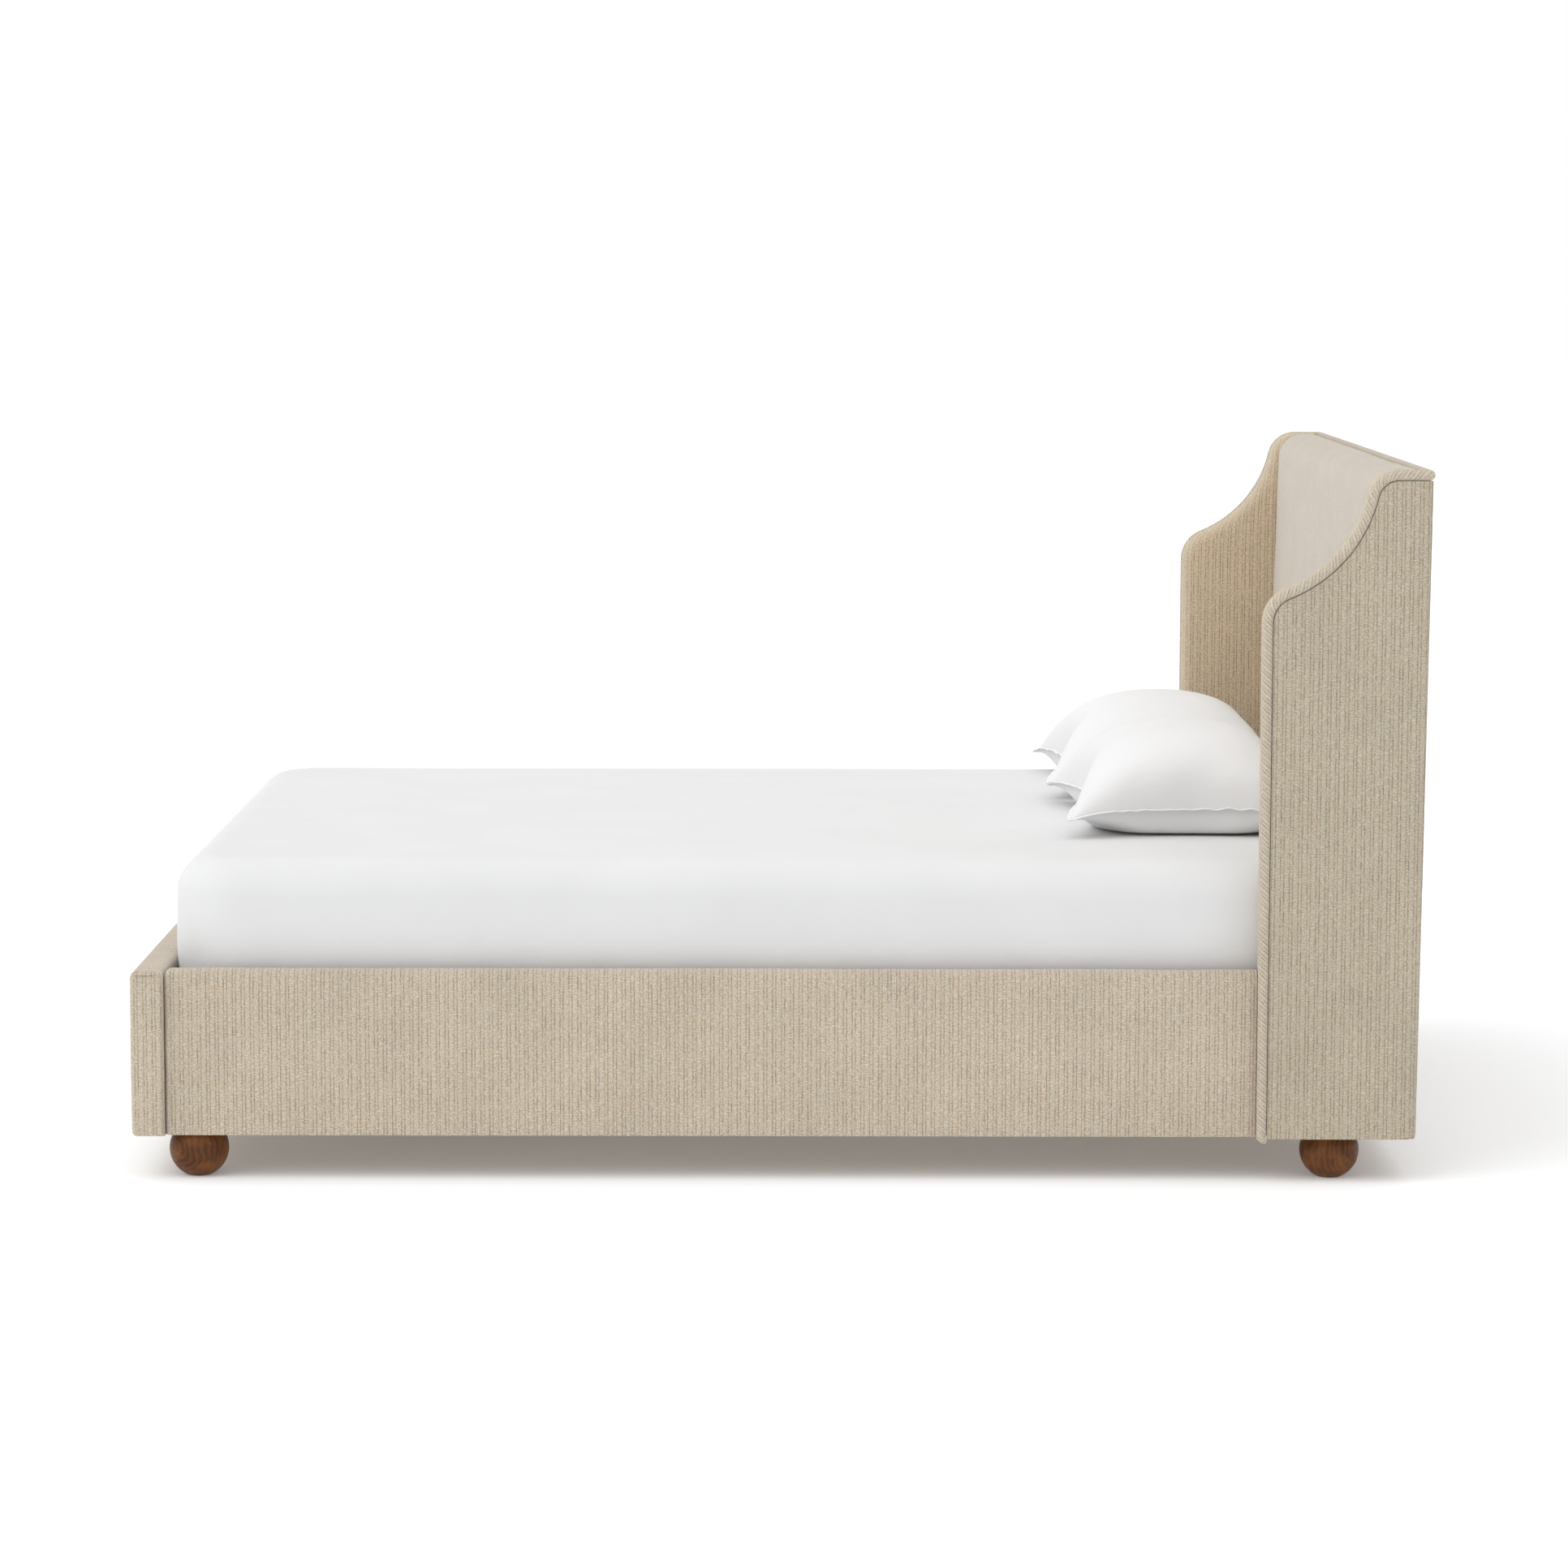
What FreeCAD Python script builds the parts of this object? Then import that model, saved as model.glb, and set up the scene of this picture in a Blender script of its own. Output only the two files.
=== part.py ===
import FreeCAD, Part
import math
import os
import re

# Upholstered platform bed with a winged headboard, a mattress and two pillows.
# Millimetres. X runs along the bed from foot (-X) to head (+X), Y across it, Z up.
# The origin is on the floor, under the middle of the bed.
# "right" is the -Y side and "left" the +Y side, seen from the foot of the bed.

os.makedirs("parts", exist_ok=True)
doc = FreeCAD.newDocument("bed")

SIZES = {
    # outside
    "half_length": 1111.5,
    "half_width": 838.0,
    "bed_height": 1225.0,
    "underside": 76.0,
    "timber_bottom": 78.0,
    # wings and headboard
    "wing_front": 821.5,
    "shoulder_height": 965.0,
    "shoulder_round": 62.5,
    "sweep_round": 228.0,
    "crest_round": 53.5,
    "crest_x": 1050.0,
    "welt_round": 9.0,
    "welt_seam": 18.6,
    "cover_thick": 8.0,
    "ply_thick": 25.0,
    "wing_inner": 772.0,
    "pad_inset": 2.0,
    "stud_front": 1050.0,
    "stud_back": 1085.0,
    "panel_thick": 6.0,
    "back_panel_thick": 4.0,
    "back_low": 1095.5,
    "back_high": 1107.5,
    "head_top": 1196.0,
    "pad_bottom": 225.0,
    "face_low": 987.5,
    "face_high": 1013.0,
    "face_round": 48.0,
    "stud_width": 70.0,
    "mid_rail_height": 640.0,
    # side rails and footboard
    "rail_outer": 814.0,
    "rail_inner": 772.0,
    "rail_pad": 13.0,
    "rail_return": 4.0,
    "rail_top": 364.0,
    "board_top": 350.0,
    "return_bottom": 250.0,
    "soft_round": 12.0,
    "foot_thick": 56.0,
    "foot_outer": 828.0,
    "foot_pad": 16.0,
    "foot_inner_pad": 12.0,
    "end_pad": 16.0,
    # slat deck
    "slat_top": 238.0,
    "slat_thick": 19.0,
    "slat_width": 80.0,
    "slat_count": 13,
    "slat_first": -1000.0,
    "slat_last": 930.0,
    "slat_half": 768.0,
    "ledger_width": 30.0,
    "ledger_drop": 30.0,
    "ledger_over": 15.0,
    "beam_thick": 36.0,
    "beam_drop": 70.0,
    "leg_pitch": 600.0,
    "leg_width": 50.0,
    "leg_bottom": 22.0,
    # ball feet
    "ball_round": 51.3,
    "ball_rise": 46.7,
    "ball_top": 75.0,
    "ball_foot_x": -1003.0,
    "ball_head_x": 955.0,
    "ball_y": 763.0,
    "ball_hole": 35.0,
    "block_top": 120.0,
    "block_inner": 704.0,
    "block_foot_reach": 45.0,
    "block_head_front": 50.0,
    "block_head_back": 55.0,
    "plate_half_x": 45.0,
    "plate_half_y": 37.0,
    # hardware
    "steel_thick": 5.0,
    "head_bracket_front": 740.0,
    "head_bracket_back": 890.0,
    "foot_bracket_reach": 78.0,
    "foot_bracket_width": 75.0,
    "foot_bolt_inset": 45.0,
    "bolt_inset": 20.0,
    "bolt_pitch": 40.0,
    "bolt_row_inset": 15.0,
    "post_length": 60.0,
    "hanger_steel": 3.0,
    "hanger_half": 45.0,
    "hanger_lip": 8.0,
    "hanger_step": 15.0,
    "hanger_play": 1.0,
    "bolt_round": 4.0,
    "bolt_play": 0.25,
    "bolt_length": 22.0,
    "bolt_head": 6.5,
    "bracket_low": 125.0,
    "bracket_high": 185.0,
    "stud_drop": 33.0,
    "stud_length": 70.0,
    "screw_round": 2.25,
    "screw_head": 4.5,
    "screw_sink": 3.2,
    "screw_length": 40.0,
    "screw_shy": 0.2,
    "pilot_depth": 24.0,
    "stem_round": 5.0,
    "stem_play": 0.05,
    "stem_length": 52.0,
    "glide_round": 20.0,
    "glide_thick": 8.0,
    "collar_round": 9.0,
    "collar_thick": 6.0,
    "socket_depth": 44.0,
    # bedding
    "mattress_foot": -1048.0,
    "mattress_head": 982.0,
    "mattress_half": 762.0,
    "mattress_low": 239.5,
    "mattress_top": 543.0,
    "mattress_corner": 90.0,
    "mattress_edge": 48.0,
    "sheet_skin": 1.2,
    "sheet_gap": 0.2,
    "sheet_tuck": 120.0,
    "pillow_x": 745.0,
    "pillow_half_x": 235.0,
    "pillow_half_y": 293.0,
    "pillow_half_z": 100.0,
    "pillow_rest": 544.7,
    "pillow_sink": 14.0,
    "pillow_reach": 400.0,
    "pillow_right_y": -141.0,
    "pillow_left_y": 449.0,
}

sheet = doc.addObject("Spreadsheet::Sheet", "P")
for row, (alias, number) in enumerate(SIZES.items(), 1):
    sheet.set("A%d" % row, alias)
    sheet.set("B%d" % row, str(number))
    sheet.setAlias("B%d" % row, alias)
doc.recompute()

GAP = 0.3
OVER = 10  # how far a cutting shape runs past the piece it cuts
SIDES = {"right": -1, "left": 1}
nodes = {}


def size(name):
    """A driving dimension, read back from the sheet."""
    return float(sheet.get(name))


def bound(text):
    """An expression on the sheet's names, written for FreeCAD."""
    return re.sub(r"[a-z_]+", lambda w: "P." + w.group(0) if w.group(0) in SIZES else w.group(0), str(text))


def place(item, x, y, z):
    """Bind an object's position to the sheet."""
    for letter, text in zip("xyz", (x, y, z)):
        item.setExpression("Placement.Base." + letter, bound(text))


def keep(label, item):
    """Make an object one of the bed's named pieces."""
    item.Label = label
    nodes[label] = item
    return item


def bar(label, xs, ys, zs):
    """A straight block between pairs of limits."""
    item = doc.addObject("Part::Box", label)
    for side, (low, high) in zip(("Length", "Width", "Height"), (xs, ys, zs)):
        item.setExpression(side, bound("(%s) - (%s)" % (high, low)))
    place(item, xs[0], ys[0], zs[0])
    return item


def across(sign, near, far):
    """Limits in Y on one side of the bed, from distances off the middle."""
    if sign < 0:
        return "-(%s)" % far, "-(%s)" % near
    return near, far


def rod(label, radius, length, at, axis=(0, 0, 1)):
    """A round bar that starts at a point and runs along an axis."""
    item = doc.addObject("Part::Cylinder", label)
    item.setExpression("Radius", bound(radius))
    item.setExpression("Height", bound(length))
    turn = FreeCAD.Rotation(FreeCAD.Vector(0, 0, 1), FreeCAD.Vector(*axis))
    item.Placement = FreeCAD.Placement(FreeCAD.Vector(0, 0, 0), turn)
    place(item, *at)
    return item


def group(label, items):
    """Separate solids kept together as one object."""
    item = doc.addObject("Part::Compound", label)
    item.Links = items
    return item


def less(label, base, tools):
    """A piece with other shapes taken out of it."""
    item = doc.addObject("Part::Cut", label)
    item.Base = base
    item.Tool = tools[0] if len(tools) == 1 else group(label + "_tools", tools)
    return item


def joined(label, items):
    """Shapes fused into one solid."""
    item = doc.addObject("Part::MultiFuse", label)
    item.Shapes = items
    return item


def rounded(label, base, radius, chosen):
    """Round the edges that a test picks out."""
    doc.recompute()
    item = doc.addObject("Part::Fillet", label)
    item.Base = base
    item.Edges = [
        (number, radius, radius)
        for number, edge in enumerate(base.Shape.Edges, 1)
        if chosen(edge)
    ]
    return item


def prism(label, plane, outline, length, at):
    """A closed outline on one of a body's own planes, padded along the plane's normal."""
    body = doc.addObject("PartDesign::Body", label)
    sketch = body.newObject("Sketcher::SketchObject", label + "_sketch")
    base = [f for f in body.Origin.OriginFeatures if f.Role == plane][0]
    sketch.AttachmentSupport = [(base, "")]
    sketch.MapMode = "FlatFace"
    sketch.addGeometry(outline, False)
    pad = body.newObject("PartDesign::Pad", label + "_pad")
    pad.Profile = sketch
    pad.setExpression("Length", bound(length))
    body.Tip = pad
    sketch.Visibility = False
    place(body, *at)
    return body


def vec(x, y):
    return FreeCAD.Vector(x, y, 0)


def line(a, b):
    return Part.LineSegment(a, b)


def arc(centre, radius, a, b):
    """The shorter arc about a centre between two directions in radians, from a to b."""
    middle = (a + b) / 2
    ends = [centre + radius * vec(math.cos(t), math.sin(t)) for t in (a, middle, b)]
    return Part.Arc(*ends)


def polygon(points):
    return [line(a, b) for a, b in zip(points, points[1:] + points[:1])]


def wing_edge(inset):
    """The wing's front and top edge, set in: up the front, over the shoulder, the sweep and the crest."""
    shoulder = vec(size("wing_front") + size("shoulder_round"), size("shoulder_height"))
    crest = vec(size("crest_x"), size("bed_height") - size("crest_round"))
    to_shoulder = size("sweep_round") + size("shoulder_round")
    to_crest = size("sweep_round") + size("crest_round")
    apart = (crest - shoulder).Length
    along = (to_shoulder ** 2 - to_crest ** 2 + apart ** 2) / (2 * apart)
    off = math.sqrt(to_shoulder ** 2 - along ** 2)
    unit = (crest - shoulder) * (1 / apart)
    sweep = shoulder + unit * along + vec(-unit.y, unit.x) * off
    lean = math.atan2(sweep.y - shoulder.y, sweep.x - shoulder.x)
    drop = math.atan2(sweep.y - crest.y, sweep.x - crest.x)
    edges = [
        arc(shoulder, size("shoulder_round") - inset, math.pi, lean),
        arc(sweep, size("sweep_round") + inset, lean - math.pi, drop - math.pi),
        arc(crest, size("crest_round") - inset, drop, math.pi / 2),
    ]
    return edges


def wing_outline(inset, bottom, back_low, back_high):
    """The whole wing outline, closed along its back and bottom."""
    edges = wing_edge(inset)
    front = size("wing_front") + inset
    top = size("bed_height") - inset
    corners = [
        vec(size("crest_x"), top),
        vec(back_high, top),
        vec(back_low, bottom),
        vec(front, bottom),
        vec(front, size("shoulder_height")),
    ]
    return edges + [line(a, b) for a, b in zip(corners, corners[1:])]


def bolt(label, at, axis):
    """A round-headed bolt: the point is where its head meets the steel, the axis runs into the timber."""
    head_at = [str(p) for p in at]
    out = [-a for a in axis]
    shank = rod(label + "_shank", "bolt_round", "bolt_length", head_at, axis)
    head = rod(label + "_head", "bolt_head", "bolt_round", head_at, out)
    return joined(label, [shank, head])


# ---- headboard: timber studs, front panel, back panel ----

STUDS = ("stud_front", "stud_back")
for side, sign in SIDES.items():
    ends = across(sign, "half_width - cover_thick - ply_thick - %s - stud_width" % GAP,
                  "half_width - pad_inset - cover_thick - ply_thick - %s" % GAP)
    keep("headboard_stile_" + side,
         bar("stile_" + side, STUDS, ends, ("timber_bottom", "head_top")))
BETWEEN = "half_width - cover_thick - ply_thick - stud_width - 2 * %s" % GAP
RUN = ("-(%s)" % BETWEEN, BETWEEN)
keep("headboard_top_rail",
     bar("top_rail", STUDS, RUN, ("head_top - stud_width", "head_top")))
keep("headboard_mid_rail",
     bar("mid_rail", STUDS, RUN, ("mid_rail_height", "mid_rail_height + stud_width")))
keep("headboard_bottom_rail",
     bar("bottom_rail", STUDS, RUN, ("timber_bottom", "pad_bottom")))
HALF_PANEL = "half_width - pad_inset - cover_thick - ply_thick - %s" % GAP
PANEL = ("-(%s)" % HALF_PANEL, HALF_PANEL)
keep("headboard_panel",
     bar("panel", ("stud_front - panel_thick", "stud_front"), PANEL, ("pad_bottom", "head_top")))
keep("headboard_back_panel",
     bar("back_panel", ("stud_back", "stud_back + back_panel_thick"), PANEL,
         ("timber_bottom", "head_top")))

# ---- headboard: soft covers ----

back_face = size("stud_back") + size("back_panel_thick") + GAP
seam_top = size("bed_height") - size("welt_seam")
cover_low = vec(size("back_low"), size("underside"))
cover_high = vec(size("back_high"), seam_top)
keep("headboard_back_cover", prism(
    "back_cover", "XZ_Plane",
    polygon([vec(back_face, size("underside")), cover_low, cover_high, vec(back_face, seam_top)]),
    "2 * (half_width - pad_inset - cover_thick - %s)" % GAP,
    ("0", "half_width - pad_inset - cover_thick - %s" % GAP, "0")))

pad_top = size("bed_height") - size("pad_inset")
round_mid = vec(size("face_high") + size("face_round"), pad_top - size("face_round"))
pad_back = back_face - GAP
panel_face = size("stud_front") - size("panel_thick") - GAP
pad_corners = [
    vec(round_mid.x, pad_top),
    vec(pad_back, pad_top),
    vec(pad_back, size("head_top") + GAP),
    vec(panel_face, size("head_top") + GAP),
    vec(panel_face, size("pad_bottom")),
    vec(size("face_low"), size("pad_bottom")),
    vec(size("face_high"), round_mid.y),
]
pad_outline = [line(a, b) for a, b in zip(pad_corners, pad_corners[1:])]
pad_outline.append(arc(round_mid, size("face_round"), math.pi, math.pi / 2))
keep("headboard_pad", prism(
    "head_pad", "XZ_Plane", pad_outline,
    "2 * (wing_inner - %s)" % GAP, ("0", "wing_inner - %s" % GAP, "0")))

keep("welt_top", rod(
    "welt_top_rod", "welt_round", "2 * (half_width - 2 * welt_round - %s)" % GAP,
    ("half_length - welt_round", "-(half_width - 2 * welt_round - %s)" % GAP,
     "bed_height - welt_round"), (0, 1, 0)))

# ---- wings ----

for side, sign in SIDES.items():
    seam = size("welt_seam")
    ply = prism("wing_ply_" + side, "XZ_Plane",
                wing_outline(seam, size("timber_bottom"), size("stud_back"), size("stud_back")),
                "ply_thick",
                ("0", across(sign, "half_width - pad_inset - cover_thick - ply_thick",
                             "half_width - pad_inset - cover_thick")[1], "0"))
    keep("wing_frame_" + side, ply)

    keep("wing_cover_" + side, prism(
        "wing_skin_" + side, "XZ_Plane",
        wing_outline(seam, size("underside"), size("back_low"), size("back_high")),
        "cover_thick - %s" % GAP,
        ("0", across(sign, "half_width - pad_inset - cover_thick + %s" % GAP,
                     "half_width - pad_inset")[1], "0")))

    pad_out = "half_width - 2 * welt_round - %s" % GAP
    slab = prism("wing_slab_" + side, "XZ_Plane",
                 wing_outline(size("pad_inset"), size("underside"), pad_back, pad_back),
                 "(%s) - wing_inner" % pad_out,
                 ("0", across(sign, "wing_inner", pad_out)[1], "0"))
    hollow = prism("wing_hollow_" + side, "XZ_Plane",
                   wing_outline(seam - GAP, 0, size("half_length"), size("half_length")),
                   "ply_thick + %d" % OVER,
                   ("0", across(sign, "half_width - pad_inset - cover_thick - ply_thick - %s" % GAP,
                                "half_width - pad_inset - cover_thick + %d - %s" % (OVER, GAP))[1], "0"))
    inner = across(sign, "wing_inner - %d" % OVER,
                   "half_width - pad_inset - cover_thick - ply_thick + %d" % OVER)
    behind = bar("wing_behind_" + side, ("stud_front - panel_thick - %s" % GAP, "half_length"),
                 inner, ("0", "head_top + %s" % GAP))
    below = bar("wing_below_" + side, ("wing_front + welt_seam - %s" % GAP, "half_length"),
                inner, ("0", "return_bottom"))
    front_low = bar("wing_front_low_" + side, ("wing_front - %d" % OVER, "half_length"),
                    across(sign, "wing_inner - %d" % OVER, "rail_outer - rail_pad"),
                    ("0", "return_bottom"))
    keep("wing_pad_" + side, less("wing_foam_" + side, slab, [hollow, behind, below, front_low]))

    path = doc.addObject("Sketcher::SketchObject", "welt_path_" + side)
    start = vec(size("wing_front") + size("welt_round"), size("underside") - 2)
    turn = vec(start.x, size("shoulder_height"))
    finish = vec(size("half_length") - size("welt_round"), size("bed_height") - size("welt_round"))
    flat = vec(size("crest_x"), finish.y)
    path.addGeometry([line(start, turn)] + wing_edge(size("welt_round")) + [line(flat, finish)], False)
    upright = FreeCAD.Rotation(FreeCAD.Vector(1, 0, 0), 90)
    path.Placement = FreeCAD.Placement(FreeCAD.Vector(0, 0, 0), upright)
    place(path, "0", "%d * (half_width - welt_round)" % sign, "0")
    ring = doc.addObject("Part::Circle", "welt_ring_" + side)
    ring.setExpression("Radius", bound("welt_round"))
    place(ring, "wing_front + welt_round", "%d * (half_width - welt_round)" % sign, "underside - 2")
    doc.recompute()
    welt = doc.addObject("Part::Sweep", "welt_sweep_" + side)
    welt.Sections = [ring]
    welt.Spine = (path, ["Edge%d" % (n + 1) for n in range(len(path.Shape.Edges))])
    welt.Solid = True
    keep("welt_" + side, welt)

# ---- side rails ----

RAIL = ("-half_length + foot_thick + %s" % GAP, "wing_front + pad_inset - %s" % GAP)
bracket_z = (size("bracket_low") + size("bolt_row_inset"), size("bracket_high") - size("bolt_row_inset"))
foot_in = -size("half_length") + size("foot_thick") - size("foot_inner_pad")
board_face = size("rail_inner") + size("rail_return")
head_bracket_x = (size("head_bracket_front"), size("head_bracket_back"))
foot_bracket_x = (foot_in, foot_in + size("foot_bracket_reach"))
first_bolt = head_bracket_x[0] + size("bolt_inset")
rail_bolts_x = (foot_bracket_x[1] - size("bolt_inset"), first_bolt, first_bolt + size("bolt_pitch"))
post_bolt_x = head_bracket_x[1] - size("bolt_inset")
foot_bolt_y = board_face - size("foot_bolt_inset")
bolts = []


def bolt_holes(label, xs, sign, start):
    """Clearance holes across the bed, cut outward from a distance off the middle."""
    return [
        rod("%s_%d_%d" % (label, x, z), "bolt_round + bolt_play", "bolt_length + %d" % (2 * OVER),
            (x, sign * start, z), (0, sign, 0))
        for x in xs for z in bracket_z
    ]


for side, sign in SIDES.items():
    blank = bar("rail_blank_" + side, RAIL,
                across(sign, "rail_inner + rail_return", "rail_outer - rail_pad"),
                ("timber_bottom", "board_top"))
    keep("rail_board_" + side, less(
        "rail_board_cut_" + side, blank,
        bolt_holes("rail_hole_" + side, rail_bolts_x, sign, board_face - OVER)))

    outer, inner = sign * size("rail_outer"), sign * size("rail_inner")
    wood_out = sign * (size("rail_outer") - size("rail_pad") + GAP)
    wood_in = sign * (board_face - GAP)
    top, low = size("rail_top"), size("underside")
    soft = size("soft_round")
    wood_top = size("board_top") + GAP
    right_angle = math.pi / 2
    facing = 0 if sign > 0 else math.pi
    outline = [
        line(vec(outer, low), vec(outer, top - soft)),
        arc(vec(outer - sign * soft, top - soft), soft, facing, right_angle),
        line(vec(outer - sign * soft, top), vec(inner + sign * soft, top)),
        arc(vec(inner + sign * soft, top - soft), soft, right_angle, math.pi - facing),
        line(vec(inner, top - soft), vec(inner, size("return_bottom"))),
        line(vec(inner, size("return_bottom")), vec(wood_in, size("return_bottom"))),
        line(vec(wood_in, size("return_bottom")), vec(wood_in, wood_top)),
        line(vec(wood_in, wood_top), vec(wood_out, wood_top)),
        line(vec(wood_out, wood_top), vec(wood_out, low)),
        line(vec(wood_out, low), vec(outer, low)),
    ]
    keep("rail_cover_" + side, prism(
        "rail_skin_" + side, "YZ_Plane", outline,
        "(%s) - (%s)" % (RAIL[1], RAIL[0]), (RAIL[0], "0", "0")))

# ---- footboard ----

FOOT_WOOD = ("-half_length + foot_pad", "-half_length + foot_thick - foot_inner_pad")
foot_blank = bar("foot_blank", FOOT_WOOD, ("-(foot_outer - end_pad)", "foot_outer - end_pad"),
                 ("timber_bottom", "board_top"))
foot_bolts_y = [sign * foot_bolt_y for sign in SIDES.values()]
foot_holes = [
    rod("foot_hole_%d_%d" % (y, z), "bolt_round + bolt_play", "bolt_length + %d" % OVER,
        (foot_in + size("steel_thick"), y, z), (-1, 0, 0))
    for y in foot_bolts_y for z in bracket_z
]
keep("footboard_board", less("footboard_cut", foot_blank, foot_holes))

outside, inside = -size("half_length"), -size("half_length") + size("foot_thick")
top, low, soft = size("rail_top"), size("underside"), size("soft_round")
foot_outline = [
    line(vec(outside, low + soft), vec(outside, top - soft)),
    arc(vec(outside + soft, top - soft), soft, math.pi, math.pi / 2),
    line(vec(outside + soft, top), vec(inside - soft, top)),
    arc(vec(inside - soft, top - soft), soft, math.pi / 2, 0),
    line(vec(inside, top - soft), vec(inside, low)),
    line(vec(inside, low), vec(outside + soft, low)),
    arc(vec(outside + soft, low + soft), soft, 3 * math.pi / 2, math.pi),
]
foot_roll = prism("foot_roll", "XZ_Plane", foot_outline, "2 * foot_outer", ("0", "foot_outer", "0"))
foot_pocket = bar(
    "foot_pocket", ("-half_length + foot_pad - %s" % GAP, "-half_length + foot_thick - foot_inner_pad"),
    ("-(foot_outer - end_pad + %s)" % GAP, "foot_outer - end_pad + %s" % GAP),
    ("0", "board_top + %s" % GAP))
foot_open = bar(
    "foot_open", ("-half_length + foot_thick - foot_inner_pad - 1", "half_length"),
    ("-(rail_inner + rail_return + %s)" % GAP, "rail_inner + rail_return + %s" % GAP),
    ("0", "return_bottom"))
keep("footboard_cover", less("foot_skin", foot_roll, [foot_pocket, foot_open]))

# ---- wing posts, corner blocks, plates, brackets ----

for side, sign in SIDES.items():
    post = bar("post_blank_" + side,
               ("wing_front + welt_seam", "wing_front + welt_seam + post_length"),
               across(sign, "rail_inner + rail_return", "half_width - pad_inset - cover_thick - ply_thick"),
               ("timber_bottom", "return_bottom - 1"))
    keep("wing_post_" + side, less(
        "wing_post_cut_" + side, post,
        bolt_holes("post_hole_" + side, (post_bolt_x,), sign, board_face - OVER)))

    for end, ball_x, xs, far in (
        ("foot", "ball_foot_x", (FOOT_WOOD[1], "ball_foot_x + block_foot_reach"), "rail_inner + rail_return"),
        ("head", "ball_head_x", ("ball_head_x - block_head_front", "ball_head_x + block_head_back"),
         "half_width - pad_inset - cover_thick - ply_thick"),
    ):
        name = "%s_%s" % (end, side)
        y = "%d * ball_y" % sign
        block = bar("block_" + name, xs, across(sign, "block_inner", far),
                    ("timber_bottom", "block_top"))
        block_hole = rod("block_hole_" + name, "bolt_round + bolt_play", "block_top",
                         (ball_x, y, "0"))
        keep("corner_block_" + name, less("corner_" + name, block, [block_hole]))

        ball = doc.addObject("Part::Sphere", "ball_" + name)
        ball.setExpression("Radius", bound("ball_round"))
        ball.setExpression("Angle1", bound("-asin(ball_rise / ball_round)"))
        ball.setExpression("Angle2", bound("asin((ball_top - ball_rise) / ball_round)"))
        place(ball, ball_x, y, "ball_rise")
        ball_hole = rod("ball_hole_" + name, "bolt_round + bolt_play", "ball_hole + %d" % OVER,
                        (ball_x, y, "ball_top - ball_hole"))
        keep("ball_foot_" + name, less("ball_cut_" + name, ball, [ball_hole]))

    head_plate = bar("head_plate_" + side, head_bracket_x,
                     across(sign, "rail_inner + rail_return - steel_thick", "rail_inner + rail_return"),
                     ("bracket_low", "bracket_high"))
    head_xs = rail_bolts_x[1:] + (post_bolt_x,)
    keep("head_bracket_" + side, less(
        "head_bracket_cut_" + side, head_plate,
        bolt_holes("head_bracket_hole_" + side, head_xs, sign, board_face - OVER)))

    leg_a = bar("foot_leg_a_" + side, foot_bracket_x,
                across(sign, "rail_inner + rail_return - steel_thick", "rail_inner + rail_return"),
                ("bracket_low", "bracket_high"))
    leg_b = bar("foot_leg_b_" + side,
                (foot_bracket_x[0], "%s + steel_thick" % foot_bracket_x[0]),
                across(sign, "rail_inner + rail_return - foot_bracket_width", "rail_inner + rail_return"),
                ("bracket_low", "bracket_high"))
    angle = joined("foot_angle_" + side, [leg_a, leg_b])
    cuts = bolt_holes("foot_bracket_hole_" + side, rail_bolts_x[:1], sign, board_face - OVER)
    cuts += [
        rod("angle_hole_%s_%d" % (side, z), "bolt_round + bolt_play", 2 * OVER,
            (foot_in + OVER, sign * foot_bolt_y, z), (-1, 0, 0))
        for z in bracket_z
    ]
    keep("foot_bracket_" + side, less("foot_bracket_cut_" + side, angle, cuts))

    steel = size("steel_thick")
    for z in bracket_z:
        for x in rail_bolts_x + (post_bolt_x,):
            bolts.append(bolt("bolt_%s_%d_%d" % (side, x, z),
                              (x, sign * (board_face - steel), z), (0, sign, 0)))
        bolts.append(bolt("bolt_end_%s_%d" % (side, z),
                          (foot_in + steel, sign * foot_bolt_y, z), (-1, 0, 0)))

keep("bracket_bolts", group("all_bracket_bolts", bolts))

plates, studs = [], []
for side, sign in SIDES.items():
    for end in ("foot", "head"):
        ball_x = "ball_%s_x" % end
        y = "%d * ball_y" % sign
        name = "%s_%s" % (end, side)
        flat = bar("plate_" + name, (ball_x + " - plate_half_x", ball_x + " + plate_half_x"),
                   (y + " - plate_half_y", y + " + plate_half_y"), ("ball_top", "timber_bottom"))
        hole = rod("plate_hole_" + name, "bolt_round + bolt_play", 2 * OVER,
                   (ball_x, y, "ball_top - %d" % OVER))
        plates.append(less("plate_cut_" + name, flat, [hole]))
        studs.append(rod("stud_" + name, "bolt_round", "stud_length", (ball_x, y, "ball_top - stud_drop")))
keep("foot_plates", group("all_foot_plates", plates))
keep("foot_studs", group("all_foot_studs", studs))

# ---- slat deck ----

count = int(size("slat_count"))
pitch = (size("slat_last") - size("slat_first")) / (count - 1)
slat_x = [size("slat_first") + pitch * n for n in range(count)]
ledger_y = board_face - size("ledger_width") / 2
LEDGER_Z = ("slat_top - slat_thick - ledger_drop", "slat_top - slat_thick")
for side, sign in SIDES.items():
    strip = bar("ledger_blank_" + side, (foot_in, "slat_last + slat_width / 2 + ledger_over"),
                across(sign, "rail_inner + rail_return - ledger_width", "rail_inner + rail_return"),
                LEDGER_Z)
    ledger_holes = [
        rod("ledger_hole_%s_%d" % (side, n), "screw_round + bolt_play", "pilot_depth + %d" % OVER,
            (x, sign * ledger_y, "slat_top - slat_thick - pilot_depth"))
        for n, x in enumerate(slat_x)
    ]
    keep("ledger_" + side, less("ledger_cut_" + side, strip, ledger_holes))

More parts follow.
